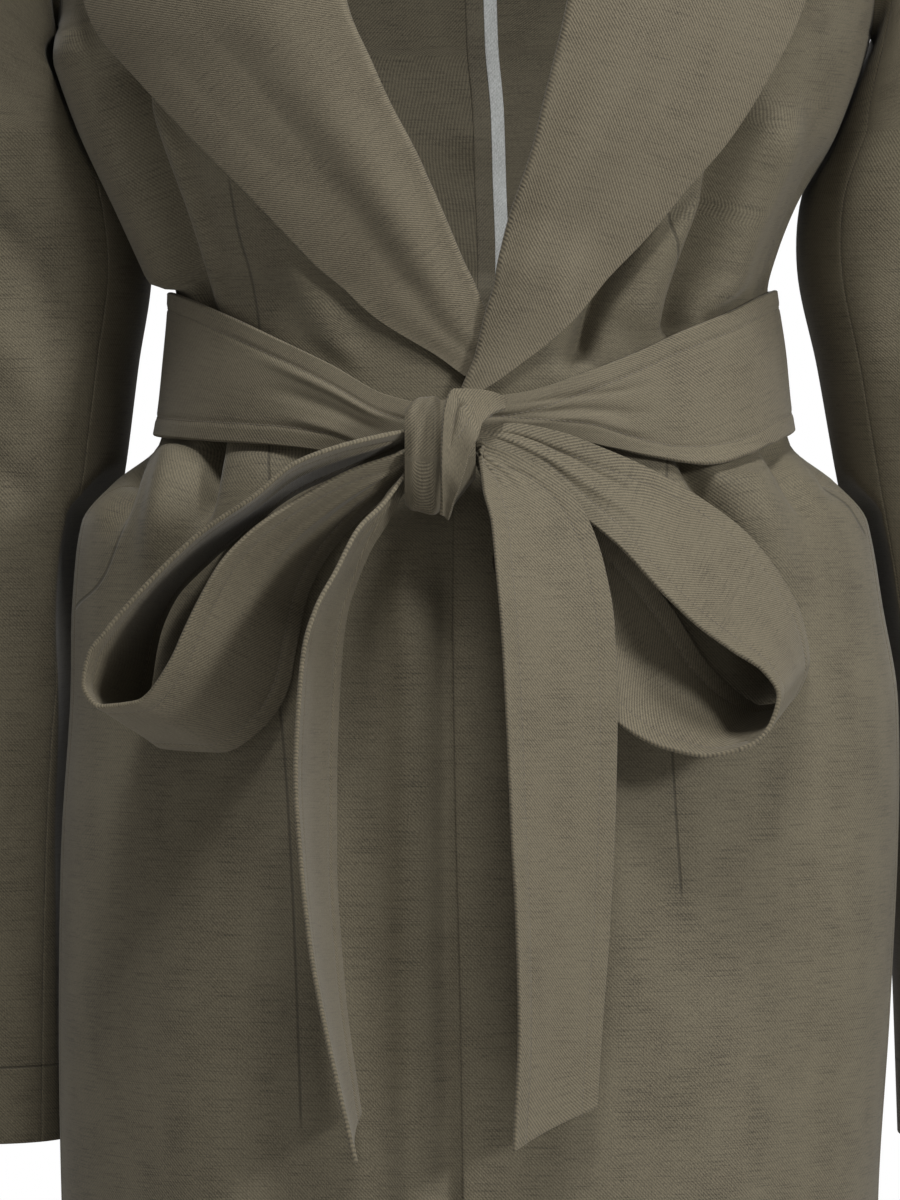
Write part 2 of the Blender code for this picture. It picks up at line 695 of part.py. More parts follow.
def clear_of_body(point, left):
    """Move a sleeve point out of the body's side and the folds there."""
    here = section(point.z)
    sign = 1 if left else -1
    depth = here.front if point.y < 0 else here.back
    reach = 1 - (abs(point.y) / depth) ** here.power
    if point.z > ARMPIT or reach <= 0:
        return point
    across = signed_power(reach, 1 / here.power)
    side, fore = across ** (here.power / 2), -signed_power(point.y / depth, here.power / 2)
    turn = math.degrees(math.atan2(side, fore))
    surface = form_point(sign * turn, point.z)
    lift = CLOTH + max(0.0, fold_lift(surface)) + look_up(SLEEVE, "clearance", point.z)
    slope = max(STEEPEST, abs(form_normal(sign * turn, point.z).x))
    point.x = max(point.x, sign * surface.x + lift / slope)
    return point


def armhole_ring(left):
    """Corners of the armhole, from the shoulder tip over the front, and each one's turn."""
    sign = 1 if left else -1
    corners = [form_point(90 * sign, SHOULDER_TIP)]
    for level in ARMHOLE_LEVELS[:-1]:
        corners.append(form_point(sign * outer_boundary(level, "front"), level))
    corners.append(form_point(90 * sign, ARMPIT))
    for level in reversed(ARMHOLE_LEVELS[:-1]):
        corners.append(form_point(sign * outer_boundary(level, "back"), level))
    for corner in corners:
        corner.x *= sign
    return corners


def sleeve_rings(left):
    """Rings of a sleeve's inner face, from the armhole to the cuff, on the +X side."""
    corners = armhole_ring(left)
    middle = sum(corners, Vector()) / len(corners)
    count = len(corners)
    turns = []
    for i, corner in enumerate(corners):
        turn = math.atan2(-(corner.y - middle.y) / CAP_DEPTH, (corner.z - middle.z) / CAP_HEIGHT)
        turns.append(turn if turn >= -1e-6 or i < 2 else turn + 2 * math.pi)
    rings = []
    for step in CAP_STEPS:
        ring = []
        for corner, turn in zip(corners, turns):
            inward = Vector((0, middle.y - corner.y, middle.z - corner.z)).normalized()
            start = corner + inward * (CLOTH + SEAM_GAP + ARMHOLE_EASE)
            end = arm_point(turn, SLEEVE_LEVELS[0], left)
            span = (end - start).length
            leave = Vector((CAP_REACH, 0, CAP_LIFT * math.cos(turn))) * span
            arrive = Vector((0, 0, -1)) * span
            point = (
                start * (2 * step**3 - 3 * step**2 + 1)
                + leave * (step**3 - 2 * step**2 + step)
                + end * (3 * step**2 - 2 * step**3)
                + arrive * (step**3 - step**2)
            )
            ring.append(clear_of_body(point, left))
        rings.append(ring)
    for level in SLEEVE_LEVELS:
        rings.append([arm_point(turn, level, left) for turn in turns])
    return rings, count


def make_sleeves():
    """Two-piece sleeves: a wide top piece and a narrow under piece on the body side."""
    for side_name, left in (("left", True), ("right", False)):
        rings, count = sleeve_rings(left)
        front_seam, back_seam = count // 2 - UNDER_SPREAD, count // 2 + UNDER_SPREAD
        top_columns = list(range(back_seam, count)) + list(range(0, front_seam + 1))
        under_columns = list(range(front_seam, back_seam + 1))
        for piece_name, columns in (("top", top_columns), ("under", under_columns)):
            grid = []
            for ring in rings:
                row = [ring[i].copy() for i in columns]
                for end, inner in ((0, 1), (-1, -2)):
                    row[end] += (row[inner] - row[end]).normalized() * (SEAM_GAP / 2 + SLACK)
                grid.append(row)
            if not left:
                grid = [[Vector((-p.x, p.y, p.z)) for p in row] for row in grid]
            else:
                grid = [list(reversed(row)) for row in grid]
            cloth(f"sleeve_{side_name}_{piece_name}", grid, CLOTH, "cloth")


def make_sash():
    """The sash round the waist, in two lengths joined at the centre back."""
    for name, table in (("belt_left", LEFT_SASH), ("belt_right", RIGHT_SASH)):
        grid = [[] for _ in range(SASH_ROWS)]
        for i in range(SASH_STATIONS):
            share = i / (SASH_STATIONS - 1)
            angle = along(table, "angle", share)
            if i == SASH_STATIONS - 1:
                angle -= math.copysign(gap_angle(-385), angle)
            top, foot = along(table, "top", share), along(table, "foot", share)
            for j in range(SASH_ROWS):
                across = j / (SASH_ROWS - 1)
                lift = along(table, "lift", share) + SASH_PUFF * math.sin(math.pi * across)
                grid[j].append(on_form(angle, top + (foot - top) * across, lift, False))
        if name == "belt_right":
            grid = [list(reversed(row)) for row in grid]
        cloth(name, grid, SASH, "sash")


def ribbon(name, pairs, stations, crown):
    """A ribbon between its two edges, crowned across by a small rise."""
    grid = []
    for i in range(stations):
        share = i / (stations - 1)
        here = Pair(*(along(pairs, column, share) for column in Pair._fields))
        near = Vector((here.near_x, here.near_y, here.near_z))
        far = Vector((here.far_x, here.far_y, here.far_z))
        grid.append([near.lerp(far, j / (RIBBON_ROWS - 1)) for j in range(RIBBON_ROWS)])
    for i, row in enumerate(grid):
        ahead, behind = grid[min(i + 1, stations - 1)], grid[max(i - 1, 0)]
        middle = RIBBON_ROWS // 2
        face = (ahead[middle] - behind[middle]).cross(row[-1] - row[0]).normalized()
        for j in range(1, RIBBON_ROWS - 1):
            row[j] = row[j] + face * crown * math.sin(math.pi * j / (RIBBON_ROWS - 1))
    cloth(name, grid, SASH, "sash", side=0.0)


def make_bow():
    """Loops, ends and the knot that they come out of."""
    for row in RIBBONS:
        ribbon(row.name, row.pairs, row.stations, row.crown)
    grid = []
    for wind in KNOT:
        row = []
        for i in range(KNOT_POINTS):
            turn = 2 * math.pi * i / KNOT_POINTS
            row.append(Vector((
                wind.x,
                KNOT_Y - wind.half_depth * signed_power(math.cos(turn), 2 / KNOT_POWER),
                KNOT_Z + wind.half_height * signed_power(math.sin(turn), 2 / KNOT_POWER),
            )))
        grid.append(row)
    cloth("knot_wrap", grid, SASH, "sash", closed=True, side=-1.0)


def make_back_seam():
    """Seam allowance inside the centre back, pressed to one side and bound with tape."""
    levels = [level for level in LEVELS if ALLOWANCE_FOOT <= level <= ALLOWANCE_TOP]

    def strip(first, last, sunk):
        grid = []
        for level in levels:
            outer, centre = back_angles(level)[-2:]
            edges = [on_form(angle, level, 0.0) for angle in (outer, centre)]
            inward = form_normal(centre, level) * -sunk
            reach = ALLOWANCE_WIDTH / (edges[0] - edges[1]).length
            grid.append([edges[1].lerp(edges[0], share * reach) + inward for share in (last, first)])
        return grid

    under_tape = CLOTH + 2 * SEAM_GAP
    cloth("back_allowance", strip(0.03, 1.0, SEAM_GAP), CLOTH, "inside", side=-1.0)
    cloth("back_binding", strip(1 - TAPE_WIDTH / ALLOWANCE_WIDTH, 1.0, under_tape), TAPE, "tape", side=-1.0)


def make_button():
    """The fastening button, behind the end of the sash."""
    angle = angle_at(BUTTON_X, BUTTON_LEVEL)
    lift = wrap_raise(BUTTON_X, BUTTON_LEVEL) + CLOTH + SEAM_GAP + BUTTON_THICK / 2
    place = on_form(angle, BUTTON_LEVEL, lift) * MM
    facing = form_normal(angle, BUTTON_LEVEL)
    bpy.ops.mesh.primitive_cylinder_add(
        vertices=BUTTON_SIDES, radius=BUTTON_RADIUS * MM, depth=BUTTON_THICK * MM
    )
    button = bpy.context.object
    button.name = "front_button"
    button.location = place
    button.rotation_euler = facing.to_track_quat("Z", "Y").to_euler()
    for collection in list(button.users_collection):
        collection.objects.unlink(button)
    garment_collection().objects.link(button)
    button.data.materials.append(finish("button"))
    edge = button.modifiers.new("edge", "BEVEL")
    edge.width = BUTTON_BEVEL * MM
    edge.segments = 1


def main():
    clear_scene()
    make_fronts()
    make_backs()
    make_back_seam()
    make_collar()
    make_sleeves()
    make_sash()
    make_bow()
    make_button()


main()
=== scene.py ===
# %% [markdown]
# # A long belted blazer, tied in a bow
# The blazer is shown as if someone wore it, close up, from the chest to the thighs. The packed
# solids give its true size and place. This script dresses each of them in cloth: a thin shell
# on the same form, with the creases, seams and stitches that a solid leaves out.

# %% Load the frame
import math
from collections import namedtuple

import bpy
import numpy as np
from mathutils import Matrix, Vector


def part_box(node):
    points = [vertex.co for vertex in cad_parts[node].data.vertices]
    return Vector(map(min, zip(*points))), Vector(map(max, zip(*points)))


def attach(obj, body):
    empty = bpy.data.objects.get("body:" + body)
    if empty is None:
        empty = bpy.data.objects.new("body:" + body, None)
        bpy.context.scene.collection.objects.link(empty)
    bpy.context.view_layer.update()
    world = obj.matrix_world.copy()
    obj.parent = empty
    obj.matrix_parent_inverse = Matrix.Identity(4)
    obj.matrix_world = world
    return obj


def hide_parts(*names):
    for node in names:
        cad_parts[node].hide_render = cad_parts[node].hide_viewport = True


MM = 0.001
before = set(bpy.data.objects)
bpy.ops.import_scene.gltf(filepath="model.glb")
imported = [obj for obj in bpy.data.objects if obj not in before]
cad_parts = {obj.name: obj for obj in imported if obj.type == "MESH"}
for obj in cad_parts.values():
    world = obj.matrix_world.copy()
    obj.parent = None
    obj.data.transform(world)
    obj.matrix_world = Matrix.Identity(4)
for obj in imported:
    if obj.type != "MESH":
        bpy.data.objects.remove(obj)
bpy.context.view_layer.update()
print("solids:", len(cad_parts))

# %% [markdown]
# ## Camera
# The photograph was taken from straight ahead at the height of the waist, with a long lens, so
# that the sleeves and the bow keep their proportions. One millimetre of cloth at the front of
# the body covers a little over two pixels, and that settles the focal length.

# %% Camera
FRAME_HEIGHT = 1200
MM_PER_PIXEL = 0.4267
CAMERA_PLACE = Vector((-10.5, -2600.0, -415.0)) * MM
CAMERA_TARGET = Vector((-10.5, 0.0, -485.0)) * MM
SENSOR_HEIGHT = 36.0
FAR_LIMIT = 50.0            # nothing further than this, in metres, is drawn

camera_data = bpy.data.cameras.new("camera")
camera = bpy.data.objects.new("camera", camera_data)
bpy.context.scene.collection.objects.link(camera)
camera.location = CAMERA_PLACE
camera.rotation_euler = (CAMERA_TARGET - CAMERA_PLACE).to_track_quat("-Z", "Y").to_euler()
camera_data.sensor_fit = "VERTICAL"
camera_data.sensor_height = SENSOR_HEIGHT
seen_height = MM_PER_PIXEL * MM * FRAME_HEIGHT
camera_data.lens = (CAMERA_TARGET - CAMERA_PLACE).length * SENSOR_HEIGHT / seen_height
camera_data.clip_end = FAR_LIMIT
bpy.context.scene.camera = camera
print("lens", round(camera_data.lens, 1), "mm")

# %% [markdown]
# ## Light and floor
# The studio is white. One soft light stands low on the right and in front, so the left side falls
# off, and another hangs high in front and throws the bow's shadow down over the skirt. A weak
# one behind is there only so that the back can be seen. Cloth this dark needs little light from
# all around, or its shadows turn grey, so the background that shows is white while the light
# that it gives is dim.

# %% Light and floor
# Each light: turn to the viewer's right and height, in degrees, then size and power
Lamp = namedtuple("Lamp", "name turn height size power")
LAMPS = [
    Lamp("key_light", 48, 18, 0.4, 36.0),
    Lamp("top_light", 4, 64, 0.6, 48.0),
    Lamp("back_light", 180, 35, 1.0, 12.0),
]
LAMP_DISTANCE = 2.6
AMBIENT = 0.24
FLOOR_LEVEL, FLOOR_SIZE, FLOOR_TONE = -1.30, 5.0, 0.9
WARM_WHITE = (1.0, 0.985, 0.96, 1.0)
LIT_POINT = Vector((0.0, 0.0, -0.50))


def soft_light(name, turn, height, size, power):
    """A square soft light that faces the blazer."""
    light = bpy.data.lights.new(name, "AREA")
    light.energy, light.size = power, size
    lamp = bpy.data.objects.new(name, light)
    turn, height = math.radians(turn), math.radians(height)
    level_reach = math.cos(height)
    towards = Vector((
        math.sin(turn) * level_reach, -math.cos(turn) * level_reach, math.sin(height)))
    lamp.location = LIT_POINT + towards * LAMP_DISTANCE
    lamp.rotation_euler = (LIT_POINT - lamp.location).to_track_quat("-Z", "Y").to_euler()
    bpy.context.scene.collection.objects.link(lamp)


for lamp in LAMPS:
    soft_light(*lamp)

studio = bpy.data.worlds.new("studio")
studio.use_nodes = True
bpy.context.scene.world = studio
bpy.context.scene.view_settings.view_transform = "Standard"
tree = studio.node_tree
seen = tree.nodes["Background"]
seen.inputs["Color"].default_value = (1.0, 1.0, 1.0, 1.0)
seen.inputs["Strength"].default_value = 1.0
given = tree.nodes.new("ShaderNodeBackground")
given.inputs["Color"].default_value = WARM_WHITE
given.inputs["Strength"].default_value = AMBIENT
rays, either = tree.nodes.new("ShaderNodeLightPath"), tree.nodes.new("ShaderNodeMixShader")
tree.links.new(rays.outputs["Is Camera Ray"], either.inputs["Fac"])
tree.links.new(given.outputs["Background"], either.inputs[1])
tree.links.new(seen.outputs["Background"], either.inputs[2])
tree.links.new(either.outputs["Shader"], tree.nodes["World Output"].inputs["Surface"])

bpy.ops.mesh.primitive_plane_add(size=FLOOR_SIZE, location=(0.0, 0.0, FLOOR_LEVEL))
floor = bpy.context.object
floor.name = "floor"
floor_finish = bpy.data.materials.new("pale_floor")
floor_finish.use_nodes = True
floor_shader = floor_finish.node_tree.nodes["Principled BSDF"]
floor_shader.inputs["Base Color"].default_value = (FLOOR_TONE, FLOOR_TONE, FLOOR_TONE, 1)
floor.data.materials.append(floor_finish)

# %% [markdown]
# ## Shader maths
# A cloth is many small numbers that vary over its surface. Wrapping a socket in a class lets a
# finish be written as sums and products, and each one adds its Math node behind the scenes.
# Colours go through Mix and Vector Math, because a Math node would turn them grey.

# %% Shader maths


class Field:
    """A socket that can be added, subtracted and multiplied like a number."""

    def __init__(self, finish, socket):
        self.finish, self.socket = finish, socket

    def math(self, operation, *others):
        values = {i: other for i, other in enumerate((self,) + others)}
        return self.finish.node("ShaderNodeMath", {"operation": operation}, values)

    def __add__(self, other):
        return self.math("ADD", other)

    def __sub__(self, other):
        return self.math("SUBTRACT", other)

    def __rsub__(self, other):
        return self.finish.node("ShaderNodeMath", {"operation": "SUBTRACT"}, {0: other, 1: self})

    def __mul__(self, other):
        return self.math("MULTIPLY", other)

    __radd__, __rmul__ = __add__, __mul__


class Finish:
    """A material under construction, with one method that adds any node."""

    def __init__(self, name):
        self.material = bpy.data.materials.new(name)
        self.material.use_nodes = True
        self.tree = self.material.node_tree
        self.shader = self.tree.nodes["Principled BSDF"]

    def node(self, kind, settings=None, values=None, output=0):
        made = self.tree.nodes.new(kind)
        for name, setting in (settings or {}).items():
            if name == "stops":
                for stop, (place, colour) in zip(made.color_ramp.elements, setting):
                    stop.position, stop.color = place, colour
            else:
                setattr(made, name, setting)
        for socket, value in (values or {}).items():
            self.feed(made.inputs[socket], value)
        return Field(self, made.outputs[output])

    def feed(self, socket, value):
        if isinstance(value, Field):
            self.tree.links.new(value.socket, socket)
        else:
            socket.default_value = value

    def set(self, **values):
        for name, value in values.items():
            self.feed(self.shader.inputs[name.replace("_", " ").title()], value)

    def mix(self, share, first, second):
        """Blend two colours."""
        settings = {"data_type": "RGBA"}
        values = {"Factor": share, 6: first, 7: second}
        return self.node("ShaderNodeMix", settings, values, output=2)

    def scaled(self, vector, by):
        """Stretch a vector by a factor for each axis."""
        return self.node("ShaderNodeVectorMath", {"operation": "MULTIPLY"}, {0: vector, 1: by})

    def noise(self, vector, scale, detail=2.0, roughness=0.5):
        values = {"Vector": vector, "Scale": scale, "Detail": detail, "Roughness": roughness}
        return self.node("ShaderNodeTexNoise", {"noise_dimensions": "2D"}, values)

    def ramp(self, value, low, high):
        """0 below low, 1 above high, straight between."""
        values = {"Value": value, "From Min": low, "From Max": high}
        return self.node("ShaderNodeMapRange", {"clamp": True}, values)


# %% [markdown]
# ## The cloth
# The real cloth is a wool suiting in a fine twill, taupe from a little way off, but spun from
# lighter and darker fibres. Close to, it shows three things: slanting ribs about a millimetre
# apart, a fleck of mixed fibres, and slubs, which are short thick places in single threads
# that run with the warp or across it. Each is a pattern on the piece's own UV map, measured in
# millimetres along and across the grain, so that it follows the cloth round every bend.

# %% The cloth
RIB_PITCH = 1.05            # between twill ribs, in millimetres
THREAD = 0.45               # width of one thread
SLUB_LENGTH = 16.0
WARP_SLUBS = 0.5            # how much weaker slubs are along the cloth than across it
LIGHT_FIBRE, DARK_FIBRE, SEAM_SHADE = 1.85, 0.36, 0.16      # times the base colour
WEAVE_RELIEF = 0.00022      # height of the ribs, in metres


def suiting(name, colour, rib_depth, slub_depth):
    """A twill suiting of a base colour, with ribs, flecks and slubs of given strength."""
    cloth = Finish(name)
    grain = cloth.node("ShaderNodeUVMap", {"uv_map": "grain"})
    split = cloth.node("ShaderNodeSeparateXYZ", None, {0: grain})
    across, along = split, Field(cloth, split.socket.node.outputs[1])

    # Twill ribs: a wave across the diagonal, made a little uneven
    drift = cloth.noise(cloth.scaled(grain, (0.12, 0.12, 1.0)), 1.0) * 1.6
    turn = (across + along) * (2 * math.pi * 0.7071 / RIB_PITCH) + drift
    ribs = turn.math("SINE") * 0.5 + 0.5
    broken = cloth.noise(cloth.scaled(grain, (1.5, 1.5, 1.0)), 1.0, 1.0)
    ribs = ribs * (broken * 0.7 + 0.6)

    # Flecks of light and dark fibre, and slubs along and across the grain
    fleck = cloth.noise(cloth.scaled(grain, (1 / THREAD, 0.28 / THREAD, 1.0)), 1.0, 3.0, 0.65)
    long, thin = 1 / SLUB_LENGTH, 1.0 / THREAD
    weft_slub = cloth.noise(cloth.scaled(grain, (long, thin, 1.0)), 0.85, 2.0, 0.6)
    warp_slub = cloth.noise(cloth.scaled(grain, (thin, long, 1.0)), 0.85, 2.0, 0.6)
    warp_slubs = cloth.ramp(warp_slub, 0.56, 0.86) * WARP_SLUBS
    slubs = (cloth.ramp(weft_slub, 0.50, 0.78) + warp_slubs) * slub_depth
    clouds = cloth.noise(cloth.scaled(grain, (0.045, 0.03, 1.0)), 1.0, 3.0, 0.55)

    # A seam is a thin dark line: the attribute holds the distance to it and how near it is
    seam = cloth.node("ShaderNodeAttribute", {"attribute_name": "seam"}, None, output=1)
    seam_split = cloth.node("ShaderNodeSeparateXYZ", None, {0: seam})
    distance = seam_split.math("ABSOLUTE")
    near = Field(cloth, seam_split.socket.node.outputs[1])
    width = Field(cloth, seam_split.socket.node.outputs[2])
    line = (1 - cloth.ramp(distance, width * 0.35, width)) * near

    light = tuple(min(1.0, c * LIGHT_FIBRE) for c in colour) + (1.0,)
    dark = tuple(c * DARK_FIBRE for c in colour) + (1.0,)
    tone = fleck * 0.62 + ribs * rib_depth + clouds * 0.22 - slubs
    cool = (colour[0] * 0.96, colour[1] * 1.0, colour[2] * 1.03, 1.0)
    base = cloth.mix(cloth.ramp(tone, 0.22, 0.86), dark, light)
    tinted = cloth.mix(cloth.ramp(clouds, 0.35, 0.7) * 0.25, base, cool)
    pressed = tuple(c * SEAM_SHADE for c in colour) + (1.0,)
    shade = cloth.mix(line * 0.5, tinted, pressed)
    height = ribs * 0.5 + fleck * 0.3 - line * 2.0
    relief = {"Strength": 0.60, "Distance": WEAVE_RELIEF, "Height": height}
    bump = cloth.node("ShaderNodeBump", None, relief)
    cloth.set(base_color=shade, roughness=fleck * 0.10 + 0.70, normal=bump)
    cloth.shader.inputs["Sheen Weight"].default_value = 0.10
    cloth.shader.inputs["Sheen Roughness"].default_value = 0.45
    cloth.shader.inputs["Specular IOR Level"].default_value = 0.32
    return cloth.material


TAUPE = (0.112, 0.0955, 0.0625)
FINISHES = {
    "cloth": suiting("suiting_cloth", TAUPE, 0.24, 0.19),
    "lapel": suiting("suiting_lapel", (0.112, 0.0950, 0.0640), 0.42, 0.16),
    "sash": suiting("suiting_sash", (0.110, 0.0935, 0.0620), 0.36, 0.15),
    "inside": suiting("suiting_inside", (0.128, 0.110, 0.0750), 0.16, 0.15),
    "tape": suiting("binding_tape", (0.76, 0.79, 0.74), 0.05, 0.05),
}
print("finishes:", ", ".join(FINISHES))

# %% [markdown]
# ## Curves through a few points
# Everything on the garment changes smoothly from a handful of measured places: a waist, a
# hip, the run of a lapel. A curve that passes through each of them and never swings past
# keeps the form free of ripples, which would show at once on smooth cloth.

# %% Curves through a few points


def smooth(keys, values, at):
    """Values at keys, on a curve that never overshoots its rows. Keys may rise or fall."""
    keys, values, at = np.array(keys, float), np.array(values, float), np.asarray(at, float)
    if keys[0] > keys[-1]:
        keys, values = keys[::-1], values[::-1]
    at = np.clip(at, keys[0], keys[-1])
    steps = np.diff(keys)
    slopes = np.diff(values) / steps
    tangents = np.zeros_like(values)
    tangents[0], tangents[-1] = slopes[0], slopes[-1]
    before, after = slopes[:-1], slopes[1:]
    both = np.where(before * after > 0, before + after, 1.0)
    tangents[1:-1] = np.where(before * after > 0, 2 * before * after / both, 0.0)
    place = np.clip(np.searchsorted(keys, at, "right") - 1, 0, len(steps) - 1)
    span = steps[place]
    t = (at - keys[place]) / span
    return (
        (2 * t**3 - 3 * t**2 + 1) * values[place]
        + (t**3 - 2 * t**2 + t) * span * tangents[place]
        + (3 * t**2 - 2 * t**3) * values[place + 1]
        + (t**3 - t**2) * span * tangents[place + 1]
    )


def look_up(table, column, at):
    """One column of a table at keys, the key being the table's first column."""
    return smooth([row[0] for row in table], [getattr(row, column) for row in table], at)


def down_rows(table, column, share):
    """One column of a table at a share, 0 to 1, of the way down its rows."""
    count = len(table) - 1
    return smooth(range(count + 1), [getattr(row, column) for row in table], np.asarray(share) * count)


def smoothstep(low, high, at):
    t = np.clip((at - low) / (high - low), 0.0, 1.0)
    return t * t * (3 - 2 * t)


def signed_power(value, power):
    return np.sign(value) * np.abs(value) ** power


# %% [markdown]
# ## The body form
# The garment keeps the shape of whoever wore it. One smooth form, given by level sections
# from the neck to the hem, carries every panel. A section is a rounded oval that is fuller in
# front than behind. The tables here are the ones that the solids were made from, so the cloth
# lies where they do, apart from its creases and the few places that a comment names.

# %% The body form
Section = namedtuple("Section", "level centre half_width front back power")
FORM = [
    Section(16, 0, 70, 54, 58, 2.1),
    Section(0, 0, 80, 62, 65, 2.1),
    Section(-22, 0, 138, 66, 72, 2.2),
    Section(-45, 0, 195, 70, 84, 2.3),
    Section(-90, 0, 187, 92, 104, 2.3),
    Section(-130, 0, 182, 108, 112, 2.3),
    Section(-170, 0, 179, 119, 115, 2.3),
    Section(-210, -1, 176, 125, 115, 2.3),
    Section(-245, -4, 171, 127, 113, 2.3),
    Section(-265, -3, 164, 126, 110, 2.3),
    Section(-290, -3, 154, 123, 105, 2.3),
    Section(-316, -4, 140, 118, 99, 2.3),
    Section(-342, -3, 129, 111, 93, 2.3),
    Section(-355, -1, 124.5, 108, 91, 2.3),
    Section(-385, 0, 126.5, 104, 89, 2.3),
    Section(-419, 0, 133, 105, 93, 2.3),
    Section(-436, 0, 153, 108, 98, 2.3),
    Section(-452, 0, 166, 111, 104, 2.3),
    Section(-485, 1, 171, 114, 110, 2.3),
    Section(-528, 4, 175, 118, 116, 2.3),
    Section(-592, 2, 177, 123, 120, 2.3),
    Section(-656, 0, 176, 126, 121, 2.3),
    Section(-740, -2, 173, 128, 122, 2.3),
    Section(-830, -2, 171, 129, 122, 2.3),
]
SHOULDER_TIP, ARMPIT, NECK_BACK = -45.0, -246.0, -22.0
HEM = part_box("front_left")[0].z / MM
FACE_STEP = 0.5


def form_point(angle, level):
    """Points of the body form; the angle runs from the centre front to the wearer's left."""
    angle, level = np.broadcast_arrays(np.asarray(angle, float), np.asarray(level, float))
    centre, half_width, front, back, power = (
        look_up(FORM, column, level) for column in Section._fields[1:]
    )
    side, fore = np.sin(np.radians(angle)), np.cos(np.radians(angle))
    depth = np.where(fore > 0, front, back)
    x = centre + half_width * signed_power(side, 2 / power)
    return np.stack([x, -depth * signed_power(fore, 2 / power), level], -1)


def unit(vector):
    return vector / np.maximum(np.linalg.norm(vector, axis=-1, keepdims=True), 1e-9)


def form_normal(angle, level):
    """Outward normals of the body form."""
    across = form_point(angle + FACE_STEP, level) - form_point(angle - FACE_STEP, level)
    up = form_point(angle, level + FACE_STEP) - form_point(angle, level - FACE_STEP)
    return unit(np.cross(across, up))


def angle_at(x, level, behind=False):
    """Angles of the form's points at x, on its front or its back."""
    centre, half_width, power = (look_up(FORM, c, level) for c in ("centre", "half_width", "power"))
    share = np.clip((x - centre) / half_width, -1.0, 1.0)
    angle = np.degrees(np.arcsin(signed_power(share, power / 2)))
    return np.where(behind, np.where(np.asarray(x) >= 0, 180 - angle, -180 - angle), angle)


TURNS = np.arange(-200.0, 200.5, 1.0)


def girth(level):
    """Distance round the form from the centre front, in millimetres, at each of TURNS."""
    points = form_point(TURNS[None, :], np.asarray(level, float)[:, None])
    steps = np.linalg.norm(np.diff(points, axis=1), axis=-1)
    far = np.concatenate([np.zeros((len(points), 1)), np.cumsum(steps, axis=1)], axis=1)
    return far - far[:, [int(np.argmin(np.abs(TURNS)))]]


print("form: hem at", round(HEM), "mm below the neck points")

# %% [markdown]
# ## Creases
# Cloth that is drawn in by a sash falls into folds: broad rolls above it, short gathers below
# it, and soft pleats that hang to the hem. Each is a line drawn down the cloth with a height,
# a ridge above zero and a trough below, and its own width on either side, because a pressed
# fold is steep on one side and soft on the other. They are placed from the photograph
# in front, and in the same manner at the back.

# %% Creases
Crease = namedtuple("Crease", "path left right height start finish", defaults=(0.15, 0.15))


def through(points, count=14):
    """More points on a smooth curve through the given ones."""
    points = np.array(points, float)
    if len(points) == 2:
        return points[0] + (points[1] - points[0]) * np.linspace(0, 1, 4)[:, None]
    ends = np.concatenate([[2 * points[0] - points[1]], points, [2 * points[-1] - points[-2]]])
    at = np.linspace(0, len(points) - 1 - 1e-9, count)
    place, t = at.astype(int), (at % 1.0)[:, None]
    a, b, c, d = (ends[place + i] for i in range(4))
    return 0.5 * (
        2 * b + (c - a) * t + (2 * a - 5 * b + 4 * c - d) * t**2 + (3 * b - a - 3 * c + d) * t**3)


def nearest(x, z, path):
    """Signed distance to a path, left of its run being positive, and the share along it."""
    best, sign, share = np.full(np.shape(x), 1e9), np.ones(np.shape(x)), np.zeros(np.shape(x))
    lengths = np.linalg.norm(np.diff(path, axis=0), axis=1)
    done = 0.0
    for (x0, z0), (x1, z1), length in zip(path, path[1:], lengths):
        run_x, run_z = (x1 - x0) / length, (z1 - z0) / length
        held = np.clip((x - x0) * run_x + (z - z0) * run_z, 0.0, length)
        off_x, off_z = x - x0 - held * run_x, z - z0 - held * run_z
        distance = np.hypot(off_x, off_z)
        closer = distance < best
        best = np.where(closer, distance, best)
        sign = np.where(closer, np.where(run_x * off_z - run_z * off_x > 0, 1.0, -1.0), sign)
        share = np.where(closer, (done + held) / lengths.sum(), share)
        done += length
    return best * sign, share


def crease_lift(x, z, creases):
    """Height of all creases at places on the cloth."""
    lift = np.zeros(np.shape(x))
    for crease in creases:
        distance, share = nearest(x, z, through(crease.path))
        width = np.where(distance > 0, crease.left, crease.right)
        ends = smoothstep(0.0, max(crease.start, 1e-6), share) if crease.start else 1.0
        ends = ends * ((1 - smoothstep(1 - crease.finish, 1.0, share)) if crease.finish else 1.0)
        lift += crease.height * np.exp(-((distance / width) ** 2)) * ends
    return lift


